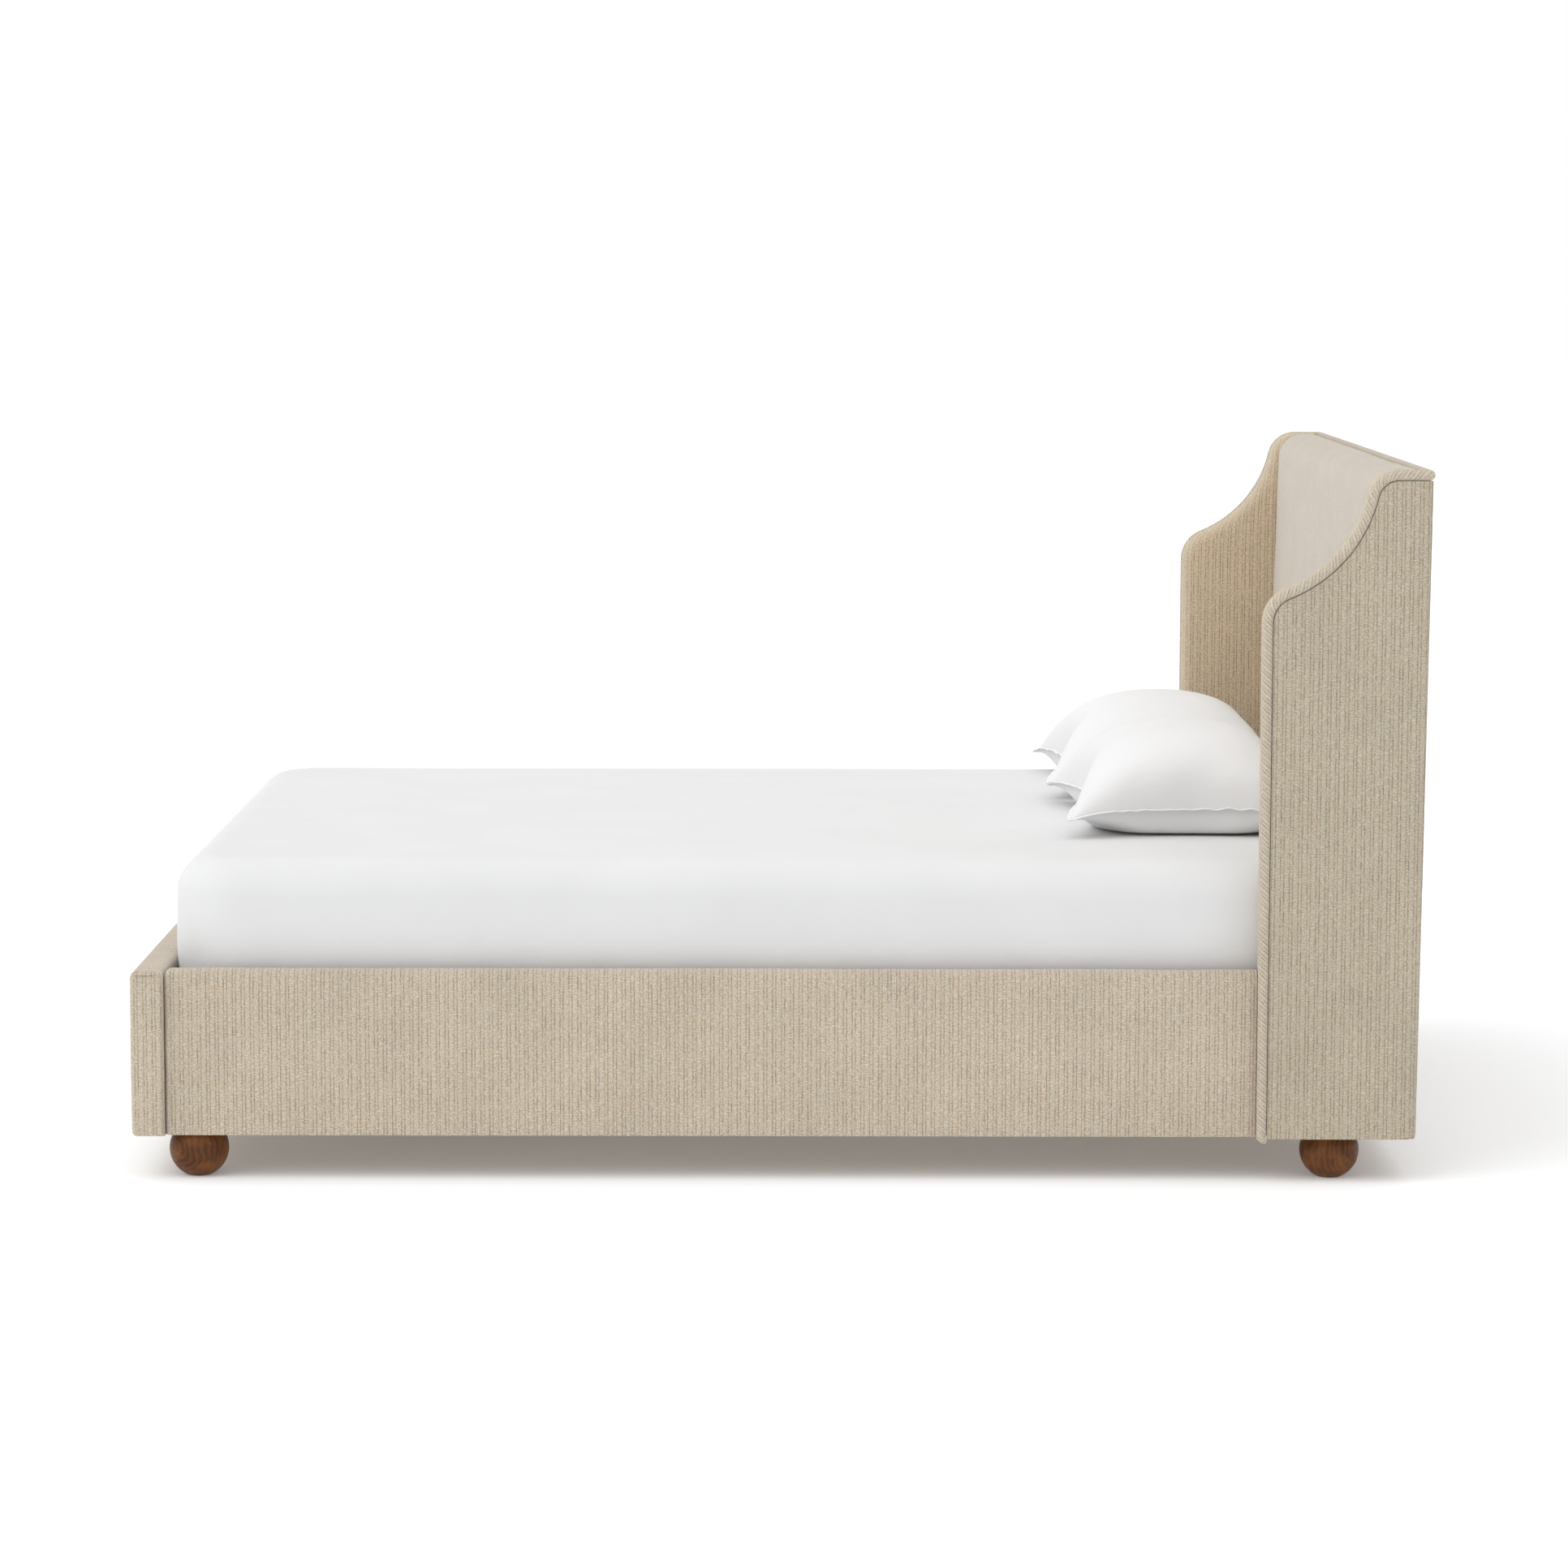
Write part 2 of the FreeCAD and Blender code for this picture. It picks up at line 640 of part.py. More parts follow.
slats, screws = [], []
for n, x in enumerate(slat_x):
    plank = bar("slat_blank_%d" % n, ("%s - slat_width / 2" % x, "%s + slat_width / 2" % x),
                ("-slat_half", "slat_half"), ("slat_top - slat_thick", "slat_top"))
    cuts = []
    for side, sign in SIDES.items():
        at = (x, sign * ledger_y)
        cuts.append(rod("slat_hole_%s_%d" % (side, n), "screw_round + bolt_play",
                        "slat_thick + %d" % (2 * OVER), at + ("slat_top - slat_thick - %d" % OVER,)))
        cuts.append(rod("slat_sink_%s_%d" % (side, n), "screw_head + bolt_play",
                        "screw_sink + %d" % OVER, at + ("slat_top - screw_sink",)))
        shank = rod("screw_shank_%s_%d" % (side, n), "screw_round", "screw_length",
                    at + ("slat_top - screw_length",))
        head = rod("screw_head_%s_%d" % (side, n), "screw_head", "screw_sink - 2 * screw_shy",
                   at + ("slat_top - screw_sink + screw_shy",))
        trim = bar("screw_trim_%s_%d" % (side, n), (x - OVER, x + OVER),
                   (sign * ledger_y - OVER, sign * ledger_y + OVER),
                   ("slat_top - screw_shy", "slat_top + %d" % OVER))
        screws.append(less("screw_%s_%d" % (side, n), joined("screw_all_%s_%d" % (side, n), [shank, head]),
                           [trim]))
    slats.append(less("slat_%d" % n, plank, cuts))
keep("slats", group("all_slats", slats))
keep("slat_screws", group("all_screws", screws))

BEAM_Z = ("slat_top - slat_thick - beam_drop", "slat_top - slat_thick")
keep("centre_beam", bar(
    "beam", ("%s + hanger_steel + hanger_play" % foot_in, "stud_front - hanger_steel - hanger_play"),
    ("-beam_thick / 2", "beam_thick / 2"), BEAM_Z))


def hanger(label, wall, out):
    """A steel shoe on a wall face: back plate, floor and two cheeks around the beam's end."""
    def reach(near, far):
        ends = ["%s + %d * (%s)" % (wall, out, d) for d in (near, far)]
        return ends if out > 0 else ends[::-1]
    low_z = BEAM_Z[0]
    parts = [
        bar(label + "_back", reach("0", "hanger_steel"), ("-hanger_half", "hanger_half"),
            (low_z + " - hanger_lip", BEAM_Z[1])),
        bar(label + "_floor", reach("0", "hanger_half"),
            ("-beam_thick / 2 - hanger_steel", "beam_thick / 2 + hanger_steel"),
            (low_z + " - hanger_steel", low_z)),
    ]
    for side, sign in SIDES.items():
        parts.append(bar("%s_cheek_%s" % (label, side), reach("0", "hanger_half"),
                         across(sign, "beam_thick / 2", "beam_thick / 2 + hanger_steel"),
                         (low_z + " - hanger_steel", BEAM_Z[1] + " - hanger_step")))
    return joined(label, parts)


keep("beam_hanger_foot", hanger("hanger_foot", foot_in, 1))
keep("beam_hanger_head", hanger("hanger_head", size("stud_front"), -1))

for name, step in (("foot", -1), ("middle", 0), ("head", 1)):
    x = "%d * leg_pitch" % step
    leg = bar("leg_" + name, (x + " - leg_width / 2", x + " + leg_width / 2"),
              ("-leg_width / 2", "leg_width / 2"), ("leg_bottom", BEAM_Z[0]))
    socket = rod("leg_socket_" + name, "stem_round + stem_play", "socket_depth + %d" % OVER,
                 (x, "0", "leg_bottom - %d" % OVER))
    keep("centre_leg_" + name, less("leg_cut_" + name, leg, [socket]))
    disc = rod("glide_disc_" + name, "glide_round", "glide_thick", (x, "0", "0"))
    collar = rod("glide_collar_" + name, "collar_round", "collar_thick", (x, "0", "glide_thick"))
    stem = rod("glide_stem_" + name, "stem_round", "stem_length", (x, "0", "glide_thick / 2"))
    keep("glide_" + name, joined("glide_all_" + name, [disc, collar, stem]))

# ---- mattress, fitted sheet, pillows ----


def upright(edge):
    box = edge.BoundBox
    return box.XLength < 1 and box.YLength < 1


def level(edge):
    return edge.BoundBox.ZLength < 1


def soft_block(label, grow):
    """A block with rounded upright corners and rounded top and bottom edges."""
    skin = " + %s" % grow
    block = bar(label + "_block", ("mattress_foot - (%s)" % grow, "mattress_head" + skin),
                ("-mattress_half - (%s)" % grow, "mattress_half" + skin),
                ("mattress_low - (%s)" % grow, "mattress_top" + skin))
    corner = rounded(label + "_corner", block, size("mattress_corner"), upright)
    return rounded(label + "_round", corner, size("mattress_edge"), level)


keep("mattress", soft_block("mattress", "0"))
sheet_out = soft_block("sheet_out", "sheet_skin")
sheet_in = soft_block("sheet_in", "sheet_gap")
sheet_open = bar("sheet_open", ("mattress_foot + sheet_tuck", "mattress_head - sheet_tuck"),
                 ("-mattress_half + sheet_tuck", "mattress_half - sheet_tuck"),
                 ("mattress_low - %d" % OVER, "mattress_low + %d" % OVER))
keep("fitted_sheet", less("sheet_cut", sheet_out, [sheet_in, sheet_open]))

for side in SIDES:
    bag = doc.addObject("Part::Ellipsoid", "pillow_bag_" + side)
    bag.setExpression("Radius1", bound("pillow_half_z"))
    bag.setExpression("Radius2", bound("pillow_half_x"))
    bag.setExpression("Radius3", bound("pillow_half_y"))
    middle = "pillow_%s_y" % side
    place(bag, "pillow_x", middle, "pillow_rest + pillow_half_z - pillow_sink")
    under = bar("pillow_under_" + side, ("pillow_x - pillow_reach", "pillow_x + pillow_reach"),
                (middle + " - pillow_reach", middle + " + pillow_reach"),
                ("pillow_rest - pillow_half_z", "pillow_rest"))
    keep("pillow_" + side, less("pillow_cut_" + side, bag, [under]))

# ---- check everything, then write one file per piece ----

doc.recompute()
faults = []
for item in doc.Objects:
    if "Invalid" in item.State or "Error" in item.State:
        faults.append("%s: %s" % (item.Name, item.State))
for label, item in nodes.items():
    shape = item.Shape
    if shape.isNull() or not shape.isValid() or not shape.Solids:
        faults.append("%s: bad shape" % label)
if faults:
    raise RuntimeError("; ".join(faults))

for label, item in sorted(nodes.items()):
    item.Shape.exportStep("parts/%s.step" % label)
    box = item.Shape.BoundBox
    print("%-24s %2d X %8.1f %8.1f Y %8.1f %8.1f Z %8.1f %8.1f" % (
        label, len(item.Shape.Solids), box.XMin, box.XMax, box.YMin, box.YMax, box.ZMin, box.ZMax))
print(len(nodes), "pieces")
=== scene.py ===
import math

import bmesh
import bpy
import numpy as np
from mathutils import Matrix, Vector, noise


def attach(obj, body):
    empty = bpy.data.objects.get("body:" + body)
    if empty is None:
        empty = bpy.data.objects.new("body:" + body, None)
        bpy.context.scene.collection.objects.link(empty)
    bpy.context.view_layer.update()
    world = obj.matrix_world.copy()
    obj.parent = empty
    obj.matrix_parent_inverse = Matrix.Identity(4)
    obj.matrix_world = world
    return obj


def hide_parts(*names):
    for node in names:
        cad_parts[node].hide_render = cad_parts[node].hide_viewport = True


# Upholstered winged bed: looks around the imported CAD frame. Metres.
# X runs from the foot (-X) to the head (+X), Y across the bed, Z up.

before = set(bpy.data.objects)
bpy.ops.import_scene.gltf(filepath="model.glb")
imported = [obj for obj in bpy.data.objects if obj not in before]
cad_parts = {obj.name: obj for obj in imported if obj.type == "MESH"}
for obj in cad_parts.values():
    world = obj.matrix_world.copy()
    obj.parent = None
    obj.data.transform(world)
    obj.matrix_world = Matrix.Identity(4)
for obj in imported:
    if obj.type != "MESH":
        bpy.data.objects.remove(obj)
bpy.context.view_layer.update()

SIDES = {"right": -1, "left": 1}
HALF_LENGTH = 1.1115
HALF_WIDTH = 0.838
HEIGHT = 1.225
UNDERSIDE = 0.076
WING_FRONT = 0.8215
SHOULDER_Z = 0.965
SHOULDER_R = 0.0625
SWEEP_R = 0.228
CREST_R = 0.0535
CREST_X = 1.050
WELT_R = 0.009
WELT_SEAM = 0.0186
RAIL_OUTER = 0.814
RAIL_INNER = 0.772
RAIL_TOP = 0.364
RETURN_LOW = 0.250
GAP = 0.0003  # between a cover and the wood it wraps
WELD = 2e-5  # points nearer than this are one


# ---------------------------------------------------------------- mesh helpers


def raw_mesh(name, points, faces):
    mesh = bpy.data.meshes.new(name)
    mesh.from_pydata([tuple(map(float, p)) for p in points], [], faces)
    return mesh


def soften(mesh, smooth=True):
    mesh.polygons.foreach_set("use_smooth", [smooth] * len(mesh.polygons))


def mend(mesh, weld, fix=True):
    """Join points that coincide, and turn the faces outward."""
    work = bmesh.new()
    work.from_mesh(mesh)
    if weld:
        bmesh.ops.remove_doubles(work, verts=work.verts, dist=weld)
    if fix:
        bmesh.ops.recalc_face_normals(work, faces=work.faces)
    work.to_mesh(mesh)
    work.free()


def put_in_scene(name, mesh):
    item = bpy.data.objects.new(name, mesh)
    bpy.context.scene.collection.objects.link(item)
    return item


def make(name, points, faces, smooth=True, fix=True):
    """A mesh object from points and faces, with its normals facing out."""
    mesh = raw_mesh(name, points, faces)
    mend(mesh, WELD, fix)
    soften(mesh, smooth)
    return put_in_scene(name, mesh)


def bake(item):
    """Replace the mesh by what its modifiers make of it."""
    graph = bpy.context.evaluated_depsgraph_get()
    mesh = bpy.data.meshes.new_from_object(item.evaluated_get(graph))
    item.modifiers.clear()
    item.data = mesh


def vertex_data(item, kind):
    flat = np.empty(len(item.data.vertices) * 3)
    item.data.vertices.foreach_get(kind, flat)
    return flat.reshape(-1, 3)


def points_of(item):
    return vertex_data(item, "co")


def set_points(item, points):
    item.data.vertices.foreach_set("co", np.asarray(points, float).ravel())
    item.data.update()


def normals_of(item):
    return vertex_data(item, "normal")


def bands(rings):
    """Faces between each closed ring of point numbers and the next."""
    return [(a[i], a[(i + 1) % len(a)], b[(i + 1) % len(a)], b[i])
            for a, b in zip(rings, rings[1:]) for i in range(len(a))]


def loft(name, loops, base=True, smooth=True):
    """A skin over closed loops of equal length, flat at the last one and, with a base, at the first."""
    n = len(loops[0])
    rings = [range(k * n, (k + 1) * n) for k in range(len(loops))]
    faces = bands(rings)
    if base:
        faces.append(tuple(rings[0]))
    faces.append(tuple(rings[-1])[::-1])
    return make(name, np.concatenate([np.asarray(loop, float) for loop in loops]), faces, smooth)


def panel(name, grids, rim):
    """A closed panel: faces all over the first and last grid, and bands between the rims of all of them."""
    points, faces, rings = [], [], []
    rows, cols = grids[0].shape[:2]
    for k, grid in enumerate(grids):
        start = len(points)
        if k in (0, len(grids) - 1):
            points += list(grid.reshape(-1, 3))
            for i in range(rows - 1):
                for a in range(start + i * cols, start + (i + 1) * cols - 1):
                    quad = (a, a + 1, a + cols + 1, a + cols)
                    faces.append(quad if k else quad[::-1])
            rings.append([start + i * cols + j for i, j in rim])
        else:
            points += [grid[i, j] for i, j in rim]
            rings.append(range(start, start + len(rim)))
    return make(name, points, faces + bands(rings))


def round_over(edge, steps):
    """For a rounded end: how far each section is set in, and how far from the end it stands."""
    return [(edge * (1 - math.sin(a)), edge * (1 - math.cos(a))) for a in np.linspace(0, math.pi / 2, steps)]


def arc(cx, cy, r, a0, a1, n):
    return [(cx + r * math.cos(t), cy + r * math.sin(t)) for t in np.linspace(a0, a1, n)]


def run(a, b, n):
    """Points from a up to, and without, b."""
    return [tuple(np.add(a, np.subtract(b, a) * t)) for t in np.arange(n) / n]


def inset_loop(loop, depth):
    """A closed 2-D loop moved inward along its own normals."""
    p = np.asarray(loop, float)
    ahead, behind = np.roll(p, -1, 0) - p, p - np.roll(p, 1, 0)
    ahead /= np.linalg.norm(ahead, axis=1)[:, None] + 1e-12
    behind /= np.linalg.norm(behind, axis=1)[:, None] + 1e-12
    tangent = ahead + behind
    tangent /= np.linalg.norm(tangent, axis=1)[:, None] + 1e-12
    normal = np.stack([-tangent[:, 1], tangent[:, 0]], 1)
    area = 0.5 * np.sum(p[:, 0] * np.roll(p[:, 1], -1) - np.roll(p[:, 0], -1) * p[:, 1])
    turn = np.clip(np.sum(ahead * behind, 1), -0.2, 1)
    mitre = 1 / np.sqrt((1 + turn) / 2)
    return p + normal * (depth * np.sign(area) * np.minimum(mitre, 1.5))[:, None]


def ripple(item, amount, size, seed, keep=None):
    """Gentle unevenness of stuffed fabric, along the surface's own normals."""
    points, normals = points_of(item), normals_of(item)
    shift = Vector((seed * 3.1, seed * 1.7, seed * 2.3))
    moved = points.copy()
    for i, (p, n) in enumerate(zip(points, normals)):
        share = 1.0 if keep is None else keep(p)
        if share > 0:
            value = noise.fractal(Vector(p) / size + shift, 0.6, 2.0, 3)
            moved[i] = p + n * (amount * share * value)
    set_points(item, moved)


def subtract(item, cutters):
    """Cut closed shapes out of a closed mesh, and delete the cutters."""
    for cutter in cutters:
        step = item.modifiers.new("cut", "BOOLEAN")
        step.operation = "DIFFERENCE"
        step.solver = "EXACT"
        step.object = cutter
        bpy.context.view_layer.update()
        bake(item)
        bpy.data.objects.remove(cutter)
    soften(item.data)
    sharpen(item, 50)


def sharpen(item, degrees):
    """Keep hard corners hard where the surface turns by more than this."""
    work = bmesh.new()
    work.from_mesh(item.data)
    limit = math.radians(degrees)
    for edge in work.edges:
        if len(edge.link_faces) == 2:
            edge.smooth = edge.calc_face_angle(0) < limit
    work.to_mesh(item.data)
    work.free()


def block(name, low, high):
    """A plain cutting block."""
    corners = [(x, y, z) for z in (low[2], high[2]) for y in (low[1], high[1])
               for x in (low[0], high[0])]
    faces = [(0, 1, 3, 2), (4, 6, 7, 5), (0, 4, 5, 1), (2, 3, 7, 6), (0, 2, 6, 4), (1, 5, 7, 3)]
    return make(name, corners, faces, smooth=False)


# ---------------------------------------------------------------- node helpers


class Nodes:
    """Short names for the shader nodes of one material."""

    def __init__(self, name):
        self.material = bpy.data.materials.new(name)
        self.material.use_nodes = True
        self.tree = self.material.node_tree
        self.tree.nodes.clear()
        self.out = self.tree.nodes.new("ShaderNodeOutputMaterial")
        self.surface = self.tree.nodes.new("ShaderNodeBsdfPrincipled")
        self.join(self.surface.outputs[0], self.out.inputs[0])

    def join(self, a, b):
        self.tree.links.new(a, b)

    def put(self, socket, value):
        if isinstance(value, bpy.types.NodeSocket):
            self.join(value, socket)
        elif value is not None:
            socket.default_value = value

    def math(self, kind, a, b=None, c=None, clamp=False):
        node = self.tree.nodes.new("ShaderNodeMath")
        node.operation = kind
        node.use_clamp = clamp
        for socket, value in zip(node.inputs, (a, b, c)):
            self.put(socket, value)
        return node.outputs[0]

    def add(self, a, b):
        return self.math("ADD", a, b)

    def sub(self, a, b):
        return self.math("SUBTRACT", a, b)

    def mul(self, a, b):
        return self.math("MULTIPLY", a, b)

    def apart(self, a, b):
        return self.math("ABSOLUTE", self.sub(a, b))

    def wave(self, value, length):
        """A sine that repeats after a length."""
        return self.math("SINE", self.mul(value, 2 * math.pi / length))

    def ramp(self, value, low, high, out_low=0.0, out_high=1.0):
        node = self.tree.nodes.new("ShaderNodeMapRange")
        node.interpolation_type = "SMOOTHSTEP"
        for socket, v in zip(node.inputs, (value, low, high, out_low, out_high)):
            self.put(socket, v)
        return node.outputs[0]

    def place(self):
        """The point in the bed's own frame, and its three parts."""
        node = self.tree.nodes.new("ShaderNodeTexCoord")
        split = self.tree.nodes.new("ShaderNodeSeparateXYZ")
        self.join(node.outputs["Object"], split.inputs[0])
        return node.outputs["Object"], split.outputs

    def vector(self, x, y, z):
        node = self.tree.nodes.new("ShaderNodeCombineXYZ")
        for socket, value in zip(node.inputs, (x, y, z)):
            self.put(socket, value)
        return node.outputs[0]

    def toned(self, color, low, high, value, dark, light):
        """The colour made a little darker or lighter as a value runs from low to high."""
        tone = self.ramp(value, low, high, dark, light)
        return self.mix(1.0, color, self.vector(tone, tone, tone), "MULTIPLY")

    def scaled(self, vector, x, y, z):
        node = self.tree.nodes.new("ShaderNodeVectorMath")
        node.operation = "MULTIPLY"
        self.put(node.inputs[0], vector)
        node.inputs[1].default_value = (x, y, z)
        return node.outputs[0]

    def noise(self, vector, scale, detail=2.0, rough=0.5, twist=0.0):
        node = self.tree.nodes.new("ShaderNodeTexNoise")
        for key, value in zip(("Vector", "Scale", "Detail", "Roughness", "Distortion"),
                              (vector, scale, detail, rough, twist)):
            self.put(node.inputs[key], value)
        return node.outputs["Fac"]

    def mix(self, share, a, b, kind="MIX"):
        node = self.tree.nodes.new("ShaderNodeMix")
        node.data_type = "RGBA"
        node.blend_type = kind
        for socket, value in ((node.inputs[0], share), (node.inputs[6], a), (node.inputs[7], b)):
            if isinstance(value, tuple) and len(value) == 3:
                value = value + (1.0,)
            self.put(socket, value)
        return node.outputs[2]

    def bump(self, height, distance, strength=1.0, before=None):
        node = self.tree.nodes.new("ShaderNodeBump")
        node.inputs["Strength"].default_value = strength
        node.inputs["Distance"].default_value = distance
        self.put(node.inputs["Height"], height)
        self.put(node.inputs["Normal"], before)
        return node.outputs[0]

    def attribute(self, name):
        node = self.tree.nodes.new("ShaderNodeAttribute")
        node.attribute_name = name
        return node

    def finish(self, color, rough, normal=None, **extra):
        if isinstance(color, tuple):
            color += (1.0,)
        self.put(self.surface.inputs["Base Color"], color)
        self.put(self.surface.inputs["Roughness"], rough)
        self.put(self.surface.inputs["Normal"], normal)
        for name, value in extra.items():
            self.surface.inputs[name.replace("_", " ")].default_value = value
        return self.material


# ---------------------------------------------------------------- materials

STRIPE_PITCH = 0.0152
STRIPE_GAP = 0.0056
STRIPE_HALF = 0.00095
FIRST_PIN = 0.004
PIN_SHARE = 0.90
DOT_PITCH = 0.0024

OATMEAL = (0.550, 0.474, 0.362)
OATMEAL_LIGHT = (0.800, 0.710, 0.575)
OATMEAL_DARK = (0.330, 0.276, 0.200)
PIN_BROWN = (0.165, 0.100, 0.052)
PIN_GOLD = (0.300, 0.190, 0.095)
SLUB_GOLD = (0.600, 0.400, 0.205)


def striped(n, across, along, point):
    """Colour and height of the oatmeal weave, from distances across and along its stripes."""

    def fleck(wide, long, slot, detail=1.0, rough=0.5):
        """Noise with so many cells to the metre across and along the stripes."""
        return n.noise(n.vector(n.mul(across, wide), n.mul(along, long), slot), 1.0, detail, rough)

    wander = fleck(60.0, 14.0, 0.0)
    c = n.add(n.add(across, n.mul(n.sub(wander, 0.5), 0.0006)), 10.0)
    turns = n.math("DIVIDE", c, STRIPE_PITCH)
    phase = n.mul(n.math("FRACT", turns), STRIPE_PITCH)
    row = n.math("FLOOR", turns)
    lines = []
    for k, start in enumerate((FIRST_PIN, FIRST_PIN + STRIPE_GAP)):
        line = n.ramp(n.apart(phase, start), STRIPE_HALF * 0.5, STRIPE_HALF * 1.5, 1.0, 0.0)
        fade = n.noise(n.vector(n.mul(row, 7.31), n.mul(along, 46.0), 3.0 + 11.0 * k), 1.0, 2.0, 0.6)
        line = n.mul(line, n.ramp(fade, 0.36, 0.62, 0.30, 1.0))
        jitter = n.noise(n.vector(n.mul(row, 3.7), n.mul(along, 90.0), 5.0 * k), 1.0, 1.0)
        dots = n.add(n.math("DIVIDE", along, DOT_PITCH), n.mul(jitter, 2.2))
        pulse = n.apart(n.math("FRACT", n.add(dots, 900.0)), 0.5)
        lines.append(n.mul(line, n.ramp(pulse, 0.12, 0.40, 0.20, 1.0)))
    pins = n.math("MAXIMUM", lines[0], lines[1])

    yarn = fleck(480.0, 430.0, 1.0, 2.0, 0.7)
    weft = fleck(130.0, 400.0, 2.0)
    warp = fleck(420.0, 150.0, 6.0)
    gold = fleck(150.0, 90.0, 8.0, 2.0, 0.6)
    hue = fleck(70.0, 16.0, 12.0, 2.0)

    color = n.mix(n.ramp(yarn, 0.34, 0.66), OATMEAL_DARK, OATMEAL_LIGHT)
    color = n.mix(0.25, color, OATMEAL)
    color = n.mix(n.mul(n.ramp(weft, 0.46, 0.70), 0.50), color, OATMEAL_LIGHT)
    color = n.mix(n.mul(n.ramp(warp, 0.50, 0.74), 0.36), color, OATMEAL_DARK)
    color = n.mix(n.mul(n.ramp(gold, 0.50, 0.72), 0.46), color, SLUB_GOLD)
    pin = n.mix(n.ramp(hue, 0.40, 0.62), PIN_BROWN, PIN_GOLD)
    color = n.mix(n.mul(pins, PIN_SHARE), color, pin)
    between = n.apart(phase, FIRST_PIN + STRIPE_GAP + 0.0048)
    color = n.mix(n.ramp(between, 0.0008, 0.0036, 0.08, 0.0), color, OATMEAL_LIGHT)
    color = n.toned(color, 0.25, 0.75, n.noise(point, 9.0, 3.0, 0.6), 0.955, 1.045)

    weave = n.mul(n.add(n.wave(along, 0.0013), n.wave(across, 0.0012)), 0.18)
    height = n.add(n.add(n.add(n.mul(yarn, 0.9), weave), n.mul(weft, 0.8)), n.mul(pins, -0.55))
    return color, height


def fabric(name, axis, painted_tint=None, sheen=0.42, wraps=False):
    """Oatmeal slub weave with pinstripes across one axis of the bed, or wrapped round a front edge; a tint
    paints light and shade into it.
    """
    n = Nodes(name)
    point, (x, y, z) = n.place()
    across, other = (x, y) if axis == "x" else (y, x)
    along = n.add(z, other)
    if wraps:
        across = n.sub(x, n.math("ABSOLUTE", y))
    color, height = striped(n, across, along, point)
    # The tint multiplies the colour to paint in light and shade.
    if painted_tint:
        color = n.mix(1.0, color, painted_tint, "MULTIPLY")
    normal = n.bump(height, 0.0009, 0.8)
    rough = n.ramp(n.noise(point, 320.0), 0.3, 0.7, 0.82, 0.95)
    return n.finish(color, rough, normal, Sheen_Weight=sheen, Sheen_Roughness=0.45)


def bias_fabric(name):
    """The same weave cut on the bias and wrapped round a cord."""
    n = Nodes(name)
    point, _ = n.place()
    ring = n.tree.nodes.new("ShaderNodeSeparateXYZ")
    n.join(n.attribute("ring").outputs["Vector"], ring.inputs[0])
    length = n.attribute("along").outputs["Fac"]
    turn = n.mul(n.math("ARCTAN2", ring.outputs[1], ring.outputs[0]), STRIPE_PITCH * 3 / (2 * math.pi))
    across = n.add(length, turn)
    along = n.sub(length, turn)
    color, height = striped(n, across, along, point)
    twill = n.wave(across, STRIPE_PITCH / 2)
    color = n.mix(n.ramp(twill, -0.4, 1.0, 0.0, 0.34), color, OATMEAL_LIGHT)
    height = n.add(height, n.mul(twill, 0.7))
    normal = n.bump(height, 0.0009, 0.8)
    return n.finish(color, 0.9, normal, Sheen_Weight=0.35, Sheen_Roughness=0.45)


def cotton(name, color, stripe=None):
    """Plain percale with a fine thread bump and faint rumples; ticking adds woven stripes."""
    n = Nodes(name)
    point, (x, y, z) = n.place()
    across = n.add(x, n.mul(z, 0.7))
    along = n.add(y, n.mul(z, 0.7))
    ends, picks = n.wave(across, 0.0009), n.wave(along, 0.0009)
    nap = n.noise(point, 900.0, 2.0)
    rumple = n.noise(point, 16.0, 3.0, 0.55, 0.4)
    height = n.add(n.mul(n.add(ends, picks), 0.12), n.mul(nap, 0.5))
    normal = n.bump(height, 0.00035, 0.6, n.bump(rumple, 0.0035, 0.35))
    made = n.toned(color, 0.3, 0.7, n.noise(point, 6.0, 3.0), 0.985, 1.01)
    if stripe:
        part = n.math("FRACT", n.math("DIVIDE", n.add(x, 10.0), 0.032))
        made = n.mix(n.ramp(n.apart(part, 0.5), 0.09, 0.12, 1.0, 0.0), made, stripe)
    rough = n.ramp(nap, 0.3, 0.7, 0.72, 0.86)
    return n.finish(made, rough, normal, Sheen_Weight=0.15, Sheen_Roughness=0.5)


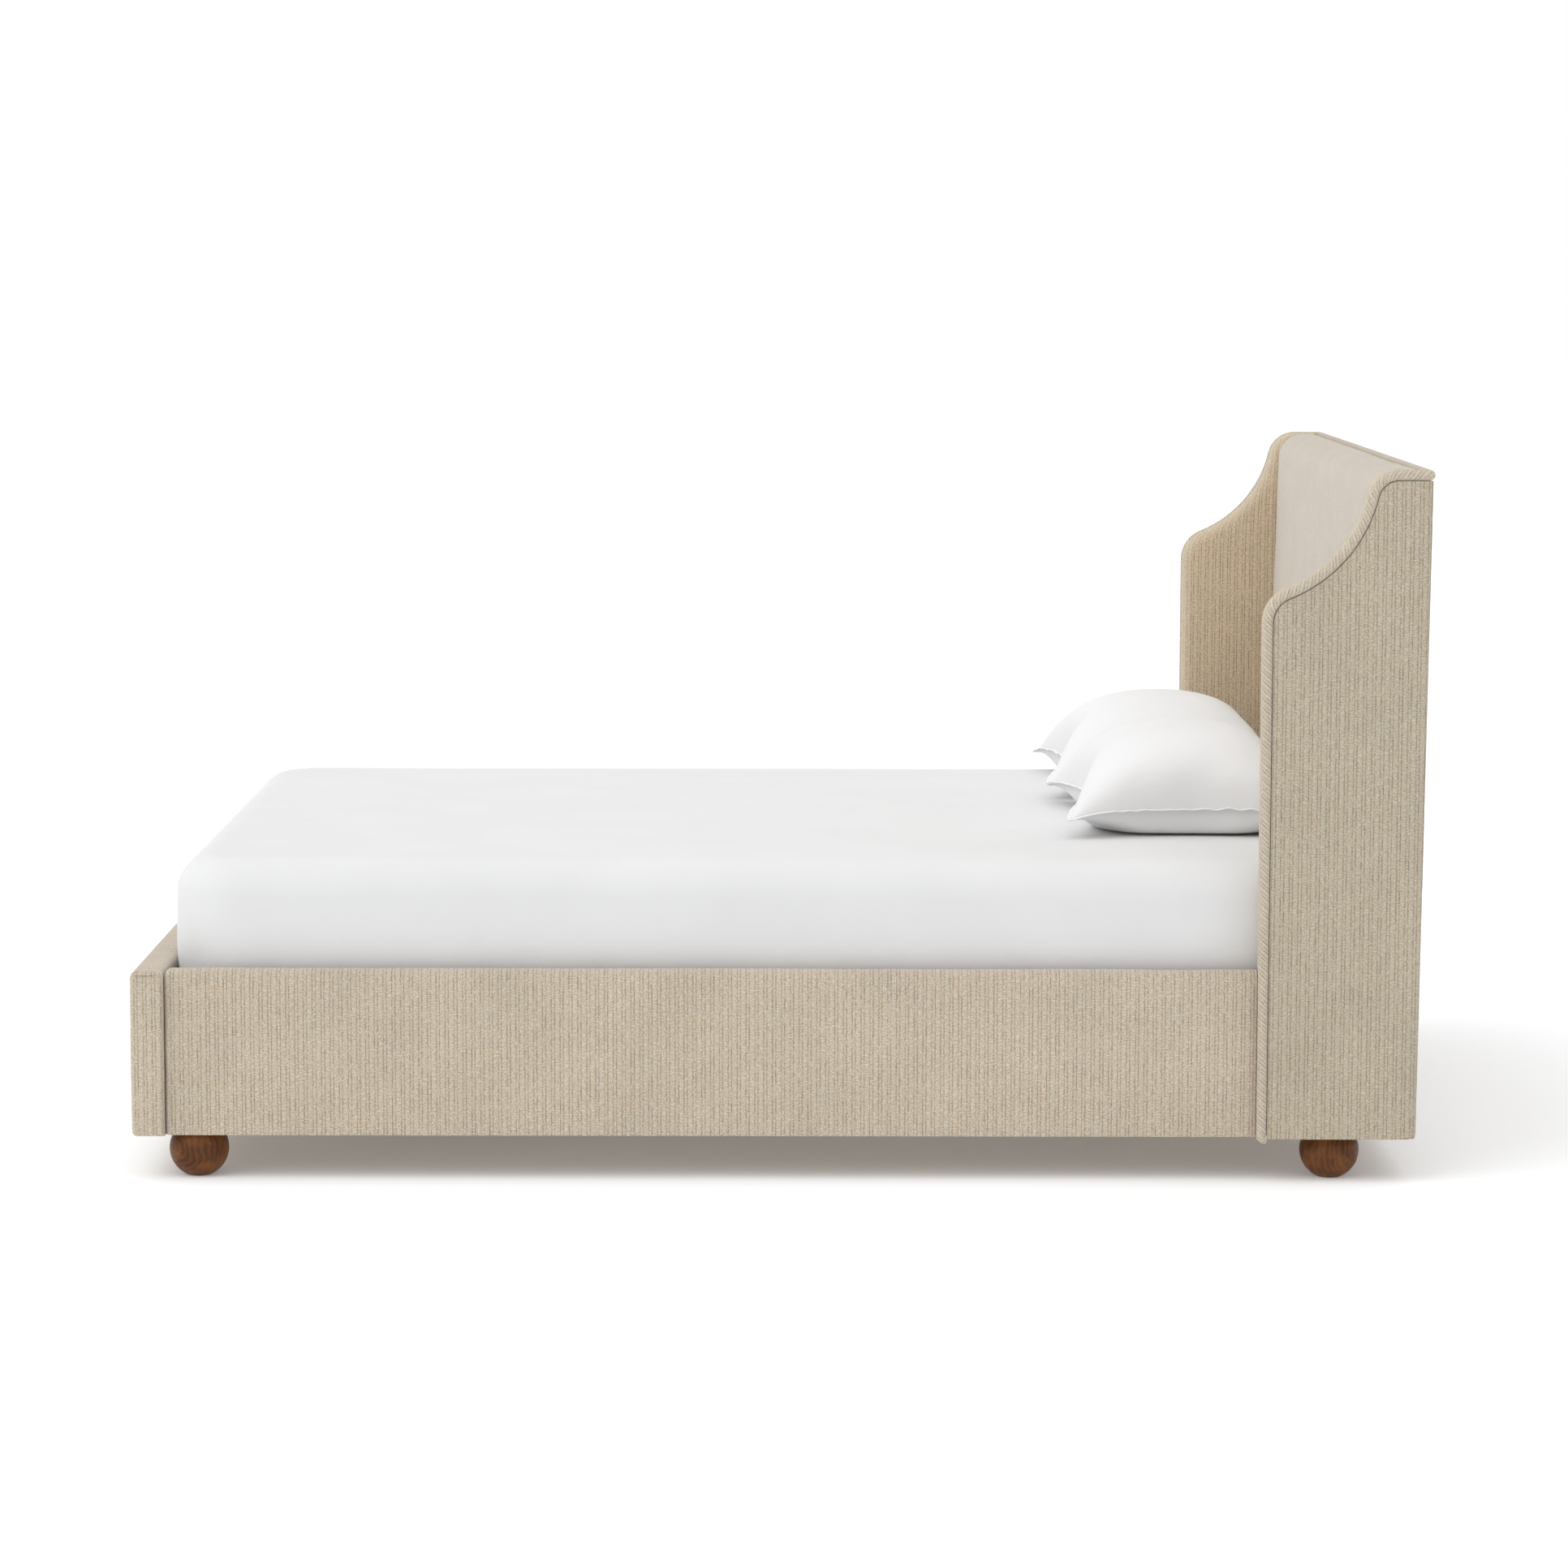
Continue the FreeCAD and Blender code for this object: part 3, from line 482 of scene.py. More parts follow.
def timber(name, dark, light, axis, pitch, rough, heart=None):
    """Wood with its grain along one axis, and either a wandering figure or rings round a heart."""
    n = Nodes(name)
    point, (x, y, z) = n.place()
    squeeze = {"x": (0.07, 1.0, 1.0), "y": (1.0, 0.07, 1.0), "z": (1.0, 1.0, 0.07)}[axis]
    grain = n.scaled(point, *squeeze)
    sway = n.noise(grain, 7.0, 3.0, 0.5, 0.6)
    if heart:
        aside = n.sub(n.math("ABSOLUTE", n.add(x, heart[0])), heart[1])
        above = n.sub(z, heart[2])
        wobble = n.mul(n.noise(point, 24.0, 3.0), 0.030)
        reach = n.math("SQRT", n.add(n.mul(aside, aside), n.mul(above, above)))
        rings = n.math("SINE", n.mul(n.add(reach, wobble), 2 * math.pi * pitch))
    else:
        rings = n.math("SINE", n.mul(sway, pitch))
    fibre = n.noise(grain, 900.0, 3.0, 0.7)
    pores = n.noise(n.scaled(point, *[s * 0.6 if s < 1 else s for s in squeeze]), 1500.0, 1.0)
    share = n.add(n.mul(n.ramp(rings, -1.0, 1.0), 0.16 if heart else 0.6), n.mul(fibre, 0.5))
    color = n.mix(n.ramp(share, 0.15, 0.95), dark, light)
    color = n.mix(n.ramp(pores, 0.62, 0.75, 0.0, 0.45), color, tuple(c * 0.35 for c in dark))
    height = n.add(n.mul(fibre, 0.5), n.mul(n.ramp(pores, 0.6, 0.75), -0.7))
    normal = n.bump(height, 0.00025, 0.5)
    gloss = n.ramp(fibre, 0.3, 0.7, rough - 0.06, rough + 0.08)
    if heart:
        color = n.mix(n.ramp(n.noise(point, 30.0, 2.0), 0.35, 0.70, 0.0, 0.45), color, light)
    return n.finish(color, gloss, normal, Specular_IOR_Level=0.22 if heart else 0.5)


def board(name, dark, light, flake):
    """Sheet material: pressed fibres or veneer, with a faint long figure."""
    n = Nodes(name)
    point, _ = n.place()
    speck = n.noise(n.scaled(point, 1.0, 1.0, 0.35), flake, 3.0, 0.7)
    cloud = n.noise(point, 5.0, 3.0)
    color = n.mix(n.ramp(speck, 0.3, 0.7), dark, light)
    color = n.mix(n.ramp(cloud, 0.3, 0.8, 0.0, 0.25), color, dark)
    return n.finish(color, n.ramp(speck, 0.3, 0.7, 0.6, 0.8), n.bump(speck, 0.0003, 0.5))


def coated(name, base, rough, metal, grain, depth):
    """Powder coat, zinc plate or moulded nylon: a fine skin texture with worn, lighter spots."""
    n = Nodes(name)
    point, _ = n.place()
    skin = n.noise(point, grain, 3.0, 0.6)
    wear = n.noise(point, 45.0, 4.0, 0.7)
    worn = tuple(min(1.0, c * 1.8 + 0.04) for c in base)
    color = n.mix(n.ramp(wear, 0.60, 0.85, 0.0, 0.35), base, worn)
    color = n.mix(n.ramp(skin, 0.3, 0.8, 0.0, 0.2), color, tuple(c * 0.6 for c in base))
    gloss = n.ramp(wear, 0.3, 0.8, rough - 0.08, rough + 0.12)
    return n.finish(color, gloss, n.bump(skin, depth, 0.5), Metallic=metal)


FABRIC_X = fabric("oatmeal_across_x", "x")
FABRIC_Y = fabric("oatmeal_across_y", "y")
# The headboard face's tint paints light into its colour: lighter and cooler, for light from the foot side.
FABRIC_FACE_PAINTED_LIGHT = fabric("oatmeal_face_painted_light", "y", (1.06, 1.065, 1.08), 0.7)
# The inner wing pads' tint paints warm bounce light into their colour.
FABRIC_PAINTED_BOUNCE = fabric("oatmeal_painted_warm_bounce", "x", (1.13, 1.065, 0.975), wraps=True)
# The outer wing covers' tint paints shade into their colour: darker than the rails, where the light falls off
# towards the head.
FABRIC_WING_PAINTED_SHADE = fabric("oatmeal_wing_painted_shade", "x", (0.86, 0.87, 0.855))
WELT = bias_fabric("oatmeal_bias")
COTTON = cotton("white_percale", (0.765, 0.765, 0.770))
SHEET = cotton("white_sheet", (0.715, 0.715, 0.718))
TICKING = cotton("ticking", (0.60, 0.59, 0.56), (0.20, 0.25, 0.33))
WALNUT = timber("stained_walnut", (0.064, 0.0205, 0.0048), (0.275, 0.102, 0.025), "y", 110.0, 0.42,
                heart=(0.024, 1.022, 0.050))
PINE = timber("pine", (0.50, 0.33, 0.17), (0.72, 0.55, 0.34), "x", 60.0, 0.62)
PINE_Y = timber("pine_slat", (0.52, 0.35, 0.19), (0.74, 0.58, 0.37), "y", 60.0, 0.62)
PINE_Z = timber("pine_upright", (0.48, 0.32, 0.17), (0.70, 0.53, 0.33), "z", 60.0, 0.62)
PLY = board("plywood", (0.46, 0.31, 0.17), (0.66, 0.49, 0.30), 140.0)
HARD = board("hardboard", (0.15, 0.088, 0.045), (0.26, 0.165, 0.09), 420.0)
STEEL = coated("black_steel", (0.022, 0.022, 0.024), 0.48, 0.0, 1400.0, 0.0002)
ZINC = coated("zinc", (0.50, 0.51, 0.53), 0.36, 1.0, 500.0, 0.00008)
NYLON = coated("black_nylon", (0.030, 0.030, 0.032), 0.52, 0.0, 700.0, 0.0001)


def finish_piece(item, material, body, slot, *nodes):
    """Give a made piece its material and its body, and hide the CAD nodes it stands for. The slot is not
    used.
    """
    item.data.materials.clear()
    item.data.materials.append(material)
    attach(item, body)
    if nodes:
        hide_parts(*nodes)
    return item


CAD_FINISH = (
    (WALNUT, "walnut", "ball_foot"),
    (PINE, "pine", "rail_board", "ledger", "centre_beam", "corner_block"),
    (PINE_Y, "pine", "footboard_board", "slats", "headboard_top_rail", "headboard_mid_rail",
     "headboard_bottom_rail"),
    (PINE_Z, "pine", "centre_leg", "wing_post", "headboard_stile"),
    (PLY, "plywood", "headboard_panel", "wing_frame"),
    (HARD, "hardboard", "headboard_back_panel"),
    (STEEL, "steel", "foot_plates", "head_bracket", "foot_bracket", "beam_hanger"),
    (ZINC, "zinc", "bracket_bolts", "foot_studs", "slat_screws"),
    (NYLON, "nylon", "glide"),
)
for label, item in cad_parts.items():
    for material, slot, *starts in CAD_FINISH:
        if label.startswith(tuple(starts)):
            item.data.materials.clear()
            item.data.materials.append(material)


# ---------------------------------------------------------------- the wing outline

SHOULDER = np.array((WING_FRONT + SHOULDER_R, SHOULDER_Z))
CREST = np.array((CREST_X, HEIGHT - CREST_R))
_apart = np.linalg.norm(CREST - SHOULDER)
_near, _far = SWEEP_R + SHOULDER_R, SWEEP_R + CREST_R
_along = (_near**2 - _far**2 + _apart**2) / (2 * _apart)
_unit = (CREST - SHOULDER) / _apart
SWEEP = SHOULDER + _unit * _along + np.array((-_unit[1], _unit[0])) * math.sqrt(_near**2 - _along**2)
LEAN = math.atan2(*(SWEEP - SHOULDER)[::-1])
DROP = math.atan2(*(SWEEP - CREST)[::-1])


def wing_chain(inset, low, back):
    """The wing's front and top edge as points (x, z), from the bottom corner to the top rear corner."""
    front = WING_FRONT + inset
    knee = (front, low + TOE_R)
    chain = run((front, low), knee, 6) + run(knee, (front, SHOULDER_Z), 66)
    chain += arc(*SHOULDER, SHOULDER_R - inset, math.pi, LEAN, 16)[:-1]
    chain += arc(*SWEEP, SWEEP_R + inset, LEAN - math.pi, DROP - math.pi, 26)[:-1]
    chain += arc(*CREST, CREST_R - inset, DROP, math.pi / 2, 14)[:-1]
    chain += run((CREST_X, HEIGHT - inset), (back, HEIGHT - inset), 6)
    chain.append((back, HEIGHT - inset))
    return np.array(chain)


def wing_loop(inset, low, back_low, back_high, cols):
    """A closed outline and the ruled grid inside it: rows run from the front chain to the back line."""
    chain = wing_chain(inset, low, back_high)
    steps = np.linalg.norm(np.diff(chain, axis=0), axis=1)
    share = np.concatenate([[0], np.cumsum(steps)]) / steps.sum()
    top = chain[-1][1]
    back = np.stack([back_low + (back_high - back_low) * share, low + (top - low) * share], 1)
    toe = np.maximum(0.0, TOE_R - (back[:, 1] - low))
    back[:, 0] -= TOE_R - np.sqrt(TOE_R**2 - toe**2)
    t = np.asarray(cols)[None, :, None]
    return chain[:, None, :] * (1 - t) + back[:, None, :] * t


COLUMNS = np.concatenate([np.linspace(0, 0.92, 13), np.linspace(0.935, 1, 9)])
REAR_FALL = 0.0066
TOE_R = 0.012


def wing_slab(name, inset, low, back_low, back_high, y_back, y_face, radius, crown, sign,
              heel=0.0, rear=0.0):
    """A slab on the wing's outline: rounded by heel at y_back, crowned at y_face, eased at the rear."""
    way = 1 if y_face > y_back else -1
    layers = [(heel, y_back)]
    layers += [(heel * (1 - math.sin(a)), y_back + way * heel * (1 - math.cos(a)))
               for a in np.linspace(0, math.pi / 2, 5)[1:] if heel]
    layers += [(radius * (1 - math.cos(a)), y_face - way * radius * (1 - math.sin(a)))
               for a in np.linspace(0, math.pi / 2, 6)]
    grids = []
    for k, (d, y) in enumerate(layers):
        flat = wing_loop(inset + d, low + d, back_low - d, back_high - d, COLUMNS)
        rows, cols = flat.shape[:2]
        grid = np.empty((rows, cols, 3))
        for i in range(rows):
            v = i / (rows - 1)
            for j, u in enumerate(COLUMNS):
                x, z = flat[i, j]
                lift = -ease(flat[i, -1, 0] - x, rear)
                if k == len(layers) - 1:
                    lift += crown * (4 * u * (1 - u)) ** 0.8 * min(1.0, 6 * v, 5 * (1 - v))
                else:
                    lift *= abs(y - y_back) / abs(y_face - y_back)
                grid[i, j] = x, sign * (y + way * lift), z
        grids.append(grid)
    rim = [(i, 0) for i in range(rows)] + [(i, cols - 1) for i in range(rows - 2, -1, -1)]
    rim += [(0, j) for j in range(cols - 2, 0, -1)]
    return panel(name, grids, rim)


def ease(away, reach):
    """How far the eased rear edge has fallen, at a distance inward from where it ends."""
    inside = max(0.0, reach - away)
    return REAR_FALL * (1 - math.sqrt(max(0.0, 1 - (inside / reach) ** 2))) if reach else 0.0


def outline_prism(name, inset, low, back, y0, y1):
    """A straight cutting prism on the wing's outline."""
    chain = wing_chain(inset, low, back)
    loop = np.concatenate([chain, [(back, low)]])
    return loft(name, [np.stack([loop[:, 0], np.full(len(loop), y), loop[:, 1]], 1) for y in (y0, y1)],
                smooth=False)


def span(sign, near, far):
    return (near, far) if sign > 0 else (-far, -near)


PAD_BACK = 1.0890
PLY_IN, PLY_OUT = 0.803, 0.828
PANEL_FRONT = 1.0437
FRAME_TOP = 1.1963
BACK_X = (1.0955, 1.1075)  # the rear cover's face at the bottom and at the top
CUT_LOW, CUT_BACK = -0.02, 1.15

for side, sign in SIDES.items():
    pad = wing_slab("wing_inner_" + side, 0.002, UNDERSIDE, PAD_BACK, PAD_BACK,
                    0.8197, RAIL_INNER, 0.020, 0.0022, sign, heel=0.005)
    y0, y1 = span(sign, PLY_IN - GAP, PLY_OUT + 0.01)
    cutters = [outline_prism("cut", WELT_SEAM - GAP, -0.05, HALF_LENGTH + 0.05, y0, y1)]
    y0, y1 = span(sign, 0.75, PLY_IN + 0.005)
    cutters.append(block("cut", (PANEL_FRONT, y0, CUT_LOW), (CUT_BACK, y1, FRAME_TOP)))
    cutters.append(block("cut", (WING_FRONT + WELT_SEAM - GAP, y0, CUT_LOW), (CUT_BACK, y1, RETURN_LOW)))
    y0, y1 = span(sign, 0.75, 0.801)
    cutters.append(block("cut", (0.80, y0, CUT_LOW), (CUT_BACK, y1, RETURN_LOW)))
    subtract(pad, cutters)
    finish_piece(pad, FABRIC_PAINTED_BOUNCE, "bed", "upholstery", "wing_pad_" + side)

    cover = wing_slab("wing_outer_" + side, WELT_SEAM - 0.0005, UNDERSIDE, *BACK_X,
                      PLY_OUT + GAP, 0.8354, 0.0019, 0.0014, sign, rear=0.017)
    finish_piece(cover, FABRIC_WING_PAINTED_SHADE, "bed", "upholstery", "wing_cover_" + side)


# ---------------------------------------------------------------- welts


def tube(name, path, radius, up=(0, 1, 0), around=20):
    """A round cord along a path, carrying how far along and which way round each point is."""
    path = np.asarray(path, float)
    steps = np.linalg.norm(np.diff(path, axis=0), axis=1)
    length = np.concatenate([[0], np.cumsum(steps)])
    tangents = np.gradient(path, axis=0)
    tangents /= np.linalg.norm(tangents, axis=1)[:, None]
    points, along, ring = [], [], []
    side = np.array(up, float)
    for p, t, s in zip(path, tangents, length):
        side = side - t * side.dot(t)
        side /= np.linalg.norm(side)
        other = np.cross(t, side)
        for k in range(around):
            a = 2 * math.pi * k / around
            wobble = 1 + 0.02 * noise.noise(Vector((s * 60, math.cos(a), math.sin(a))))
            points.append(p + (side * math.cos(a) + other * math.sin(a)) * radius * wobble)
            along.append(s)
            ring.append((math.cos(a), math.sin(a), 0.0))
    n = len(path)
    for end, (i, way) in enumerate(((0, -1), (n - 1, 1))):
        for step in (1, 2):
            share = math.cos(step * math.pi / 6)
            out = math.sin(step * math.pi / 6) * radius * 0.45
            for k in range(around):
                q = np.array(points[i * around + k])
                points.append(path[i] + (q - path[i]) * share + tangents[i] * way * out)
                along.append(length[i] + way * out)
                ring.append(ring[i * around + k])
        points.append(path[i] + tangents[i] * way * radius * 0.45)
        along.append(length[i] + way * radius * 0.5)
        ring.append((1.0, 0.0, 0.0))
    rings = [range(i * around, (i + 1) * around) for i in range(n)]
    faces = bands(rings)
    for start, at in ((n * around, 0), ((n + 2) * around + 1, n - 1)):
        near, tip = (range(start + k * around, start + (k + 1) * around) for k in (0, 1))
        faces += bands([rings[at], near, tip])
        faces += [(tip[k], tip[(k + 1) % around], start + 2 * around) for k in range(around)]
    mesh = raw_mesh(name, points, faces)
    mesh.attributes.new("along", "FLOAT", "POINT").data.foreach_set("value", np.array(along, np.float32))
    mesh.attributes.new("ring", "FLOAT_VECTOR", "POINT").data.foreach_set(
        "vector", np.array(ring, np.float32).ravel())
    mend(mesh, 0)
    soften(mesh)
    return put_in_scene(name, mesh)


def even(path, step):
    """The same path with its points a fixed step apart."""
    path = np.asarray(path, float)
    keep = [path[0]]
    for p in path[1:]:
        if np.linalg.norm(p - keep[-1]) > 1e-7:
            keep.append(p)
    path = np.array(keep)
    s = np.concatenate([[0], np.cumsum(np.linalg.norm(np.diff(path, axis=0), axis=1))])
    t = np.linspace(0, s[-1], max(2, int(s[-1] / step) + 1))
    return np.stack([np.interp(t, s, path[:, k]) for k in range(3)], 1)


WELT_Y = HALF_WIDTH - WELT_R
REAR_X = HALF_LENGTH - WELT_R
TOP_Z = HEIGHT - WELT_R
WELT_TURN = 0.008  # radius of the corner where a wing's welt turns in behind the headboard
WELT_STEP = 0.004
for side, sign in SIDES.items():
    chain = wing_chain(WELT_R, UNDERSIDE + 0.003, REAR_X - WELT_TURN)
    path = [(x, sign * WELT_Y, z) for x, z in chain]
    start = [(WING_FRONT + WELT_R + 0.007, sign * WELT_Y, UNDERSIDE + 0.0005),
             (WING_FRONT + WELT_R + 0.002, sign * WELT_Y, UNDERSIDE + 0.001)]
    corner = [(REAR_X - WELT_TURN * (1 - math.sin(a)), sign * (WELT_Y - WELT_TURN * (1 - math.cos(a))), TOP_Z)
              for a in np.linspace(0, math.pi / 2, 7)[1:]]
    welt = tube("welt_edge_" + side, even(start + path + corner, WELT_STEP), WELT_R)
    finish_piece(welt, WELT, "bed", "welt", "welt_" + side)
half = WELT_Y - 0.0095
rear_line = even([(REAR_X, -half, TOP_Z), (REAR_X, half, TOP_Z)], WELT_STEP)
welt = tube("welt_rear", rear_line, WELT_R, up=(0, 0, 1))
finish_piece(welt, WELT, "bed", "welt", "welt_top")


# ---------------------------------------------------------------- headboard front and back

FACE_LOW, FACE_HIGH = 0.9875, 1.013
PAD_LOW, PAD_TOP = 0.225, 1.223
FACE_R = 0.048
HEAD_HALF = 0.7717


def head_section(belly):
    """The padded front's section (x, z), with its face swelling by belly."""
    roll = (FACE_HIGH + FACE_R, PAD_TOP - FACE_R)
    section = []
    for t in np.linspace(0, 1, 46)[:-1]:
        z = PAD_LOW + (roll[1] - PAD_LOW) * t
        x = FACE_LOW + (FACE_HIGH - FACE_LOW) * t
        section.append((x - belly * (4 * t * (1 - t)) ** 0.7 - belly * 0.35 * t, z))
    top = belly * 0.35
    section += [
        (roll[0] + (FACE_R + top) * math.cos(a), roll[1] + FACE_R * math.sin(a))
        for a in np.linspace(math.pi, math.pi / 2, 14)
    ]
    section += run((roll[0] + 0.004, PAD_TOP), (PAD_BACK - 0.001, PAD_TOP - 0.001), 4)
    section += run((PAD_BACK, PAD_TOP - 0.002), (PAD_BACK, FRAME_TOP), 4)
    section += run((PAD_BACK, FRAME_TOP), (PANEL_FRONT, FRAME_TOP), 5)
    section += run((PANEL_FRONT, FRAME_TOP), (PANEL_FRONT, PAD_LOW), 40)
    section += run((PANEL_FRONT, PAD_LOW), (FACE_LOW, PAD_LOW), 6)
    return section


def head_stations():
    """How far each section is set in, and where it stands across the bed."""
    edge = 0.010
    ends = [(d, HEAD_HALF - x) for d, x in round_over(edge, 6)]
    middle = [(0.0, y) for y in np.linspace(HEAD_HALF - edge, -(HEAD_HALF - edge), 90)[1:-1]]
    return ends + middle + [(d, -y) for d, y in ends[::-1]]


loops = []
for d, y in head_stations():
    share = min(1.0, (1 - abs(y) / HEAD_HALF) / 0.22)
    section = inset_loop(head_section(0.004 * share**0.6), d)
    loops.append([(x, y, z) for x, z in section])
head = loft("headboard_front", loops)
ripple(head, 0.0016, 0.34, 3.0, lambda p: 1.0 if p[0] < 1.03 or p[2] > 1.2 else 0.0)
finish_piece(head, FABRIC_FACE_PAINTED_LIGHT, "bed", "upholstery", "headboard_pad")

BACK_IN = PAD_BACK + GAP
BACK_HALF = PLY_OUT - GAP
BACK_TOP = HEIGHT - WELT_SEAM


def rear_panel():
    """The rear cover: a thin padded panel that leans out towards the top."""
    rows, cols, r = 70, 90, 0.004
    v, u = np.meshgrid(np.linspace(0, 1, rows), np.linspace(0, 1, cols), indexing="ij")
    layers = [(0.0, 0.0)] + [(r * (1 - math.cos(a)), math.sin(a)) for a in np.linspace(0, math.pi / 2, 5)]
    grids = []
    for k, (d, rise) in enumerate(layers):
        y = (2 * u - 1) * (BACK_HALF - d)
        z = UNDERSIDE + d + (BACK_TOP - UNDERSIDE - 2 * d) * v
        x = BACK_X[0] + (BACK_X[1] - BACK_X[0]) * (z - UNDERSIDE) / (BACK_TOP - UNDERSIDE) - r + r * rise
        if k == 0:
            x = np.full_like(z, BACK_IN)
        if k == len(layers) - 1:
            x += 0.0018 * np.minimum(1, 8 * np.minimum(u, 1 - u)) * np.minimum(1, 6 * np.minimum(v, 1 - v))
        grids.append(np.stack([x, y, z], 2))
    rim = [(0, j) for j in range(cols)] + [(i, cols - 1) for i in range(1, rows)]
    rim += [(rows - 1, j) for j in range(cols - 2, -1, -1)] + [(i, 0) for i in range(rows - 2, 0, -1)]
    return panel("headboard_rear", grids, rim)


back = rear_panel()
ripple(back, 0.0010, 0.30, 5.0, lambda p: 1.0 if p[0] > 1.094 else 0.0)
finish_piece(back, FABRIC_Y, "bed", "upholstery", "headboard_back_cover")


# ---------------------------------------------------------------- side rails and footboard


RAIL_X = (-1.0550, 0.8228)
BOARD_OUT, BOARD_IN = 0.8013, 0.7757
WOOD_TOP = 0.3503
END_R = 0.013
EDGE_R = 0.007
HEAD_END = 0.35  # how much of the rounding the rail's end at the wing keeps


def rail_section(belly):
    """The rail cover's section (y, z) on the left side: over the board like a J."""
    r, low, lip = 0.014, UNDERSIDE, 0.003
    section = run((BOARD_OUT, low), (RAIL_OUTER - lip, low), 3)
    section += arc(RAIL_OUTER - lip, low + lip, lip, -math.pi / 2, 0, 4)[:-1]
    for t in np.linspace(0, 1, 26)[:-1]:
        z = low + lip + (RAIL_TOP - r - low - lip) * t
        section.append((RAIL_OUTER + belly * (4 * t * (1 - t)) ** 0.7, z))
    section += arc(RAIL_OUTER - r, RAIL_TOP - r, r, 0, math.pi / 2, 10)[:-1]
    section += run((RAIL_OUTER - r, RAIL_TOP), (RAIL_INNER + r, RAIL_TOP), 3)
    section += arc(RAIL_INNER + r, RAIL_TOP - r, r, math.pi / 2, math.pi, 8)[:-1]
    section += run((RAIL_INNER, RAIL_TOP - r), (RAIL_INNER, RETURN_LOW), 8)
    section += run((RAIL_INNER, RETURN_LOW), (BOARD_IN, RETURN_LOW), 2)
    section += run((BOARD_IN, RETURN_LOW), (BOARD_IN, WOOD_TOP), 8)
    section += run((BOARD_IN, WOOD_TOP), (BOARD_OUT, WOOD_TOP), 4)
    section += run((BOARD_OUT, WOOD_TOP), (BOARD_OUT, low), 20)
    return section


def rail_inset(section, d):
    """Set the section's outer faces in by d, and leave what lies on the wood where it is."""
    moved = inset_loop(section, d)
    out = []
    for (y, z), (my, mz) in zip(section, moved):
        on_wood = BOARD_IN - 1e-4 <= y <= BOARD_OUT + 1e-4 and z <= WOOD_TOP + 1e-4
        out.append((y, z) if on_wood else (my, mz))
    return out


for side, sign in SIDES.items():
    loops = []
    stations = round_over(EDGE_R, 7)
    places = [(d, RAIL_X[0] + x) for d, x in stations]
    places += [(0.0, RAIL_X[0] + EDGE_R + 0.0015 * k) for k in range(1, 6)]
    middle = np.linspace(RAIL_X[0] + EDGE_R + 0.008, RAIL_X[1] - EDGE_R * HEAD_END, 150)[1:-1]
    places += [(0.0, x) for x in middle]
    places += [(d * HEAD_END, RAIL_X[1] - x * HEAD_END) for d, x in stations[::-1]]
    for d, x in places:
        near = min(x - RAIL_X[0], RAIL_X[1] - x)
        share = min(1.0, 0.15 + near / 0.16)
        section = rail_inset(rail_section(0.0013 * share), d)
        back = max(0.0, END_R - (x - RAIL_X[0]))
        drop = max(0.0, END_R - math.sqrt(END_R**2 - back**2) - min(d, EDGE_R))
        top = [min(1.0, max(0.0, (z - 0.300) / 0.050)) if z > WOOD_TOP + 0.001 or y > 0.802 else 0.0
               for y, z in section]
        section = [(y, z - drop * share) for (y, z), share in zip(section, top)]
        loops.append([(x, sign * y, z) for y, z in section])
    rail = loft("rail_upholstery_" + side, loops)
    sharpen(rail, 60)
    ripple(rail, 0.0011, 0.22, 7.0 + sign, lambda p: 1.0 if abs(p[1]) > 0.8125 or p[2] > 0.36 else 0.0)
    finish_piece(rail, FABRIC_X, "bed", "upholstery", "rail_cover_" + side)

FOOT_OUT, FOOT_IN = -1.1115, -1.0555
FOOT_HALF = 0.828


def foot_section(belly):
    """The footboard's section (x, z): rounded along the top and under the outer face."""
    r, rb, low = 0.0135, 0.009, UNDERSIDE
    section = run((FOOT_IN, low), (FOOT_OUT + rb, low), 4)
    section += arc(FOOT_OUT + rb, low + rb, rb, 1.5 * math.pi, math.pi, 5)[:-1]
    for t in np.linspace(0, 1, 26)[:-1]:
        z = low + rb + (RAIL_TOP - r - low - rb) * t
        section.append((FOOT_OUT - belly * (4 * t * (1 - t)) ** 0.7, z))
    section += arc(FOOT_OUT + r, RAIL_TOP - r, r, math.pi, math.pi / 2, 10)[:-1]
    section += run((FOOT_OUT + r, RAIL_TOP), (FOOT_IN - r, RAIL_TOP), 4)
    section += arc(FOOT_IN - r, RAIL_TOP - r, r, math.pi / 2, 0, 8)[:-1]
    section += run((FOOT_IN, RAIL_TOP - r), (FOOT_IN, low), 22)
    return section


loops = []
stations = round_over(EDGE_R, 6)
places = [(d, -FOOT_HALF + y) for d, y in stations]
places += [(0.0, y) for y in np.linspace(-FOOT_HALF + EDGE_R, FOOT_HALF - EDGE_R, 140)[1:-1]]
places += [(d, FOOT_HALF - y) for d, y in stations[::-1]]
for d, y in places:
    share = min(1.0, 0.1 + (FOOT_HALF - abs(y)) / 0.2)
    section = inset_loop(foot_section(0.0016 * share), d)
    loops.append([(x, y, z) for x, z in section])
foot = loft("footboard_upholstery", loops)
ripple(foot, 0.0010, 0.22, 11.0, lambda p: 1.0 if p[0] < -1.109 or p[2] > 0.362 else 0.0)
cutters = [
    block("cut", (-1.0958, -0.8123, CUT_LOW), (-1.0675, 0.8123, WOOD_TOP)),
    block("cut", (-1.0685, -0.7763, CUT_LOW), (-1.04, 0.7763, RETURN_LOW)),
]
subtract(foot, cutters)
finish_piece(foot, FABRIC_Y, "bed", "upholstery", "footboard_cover")
# The two end panels have their stripes across the footboard's thickness.
foot.data.materials.append(FABRIC_X)
for face in foot.data.polygons:
    if abs(face.normal.y) > 0.6 and abs(face.center.y) > 0.815:
        face.material_index = 1


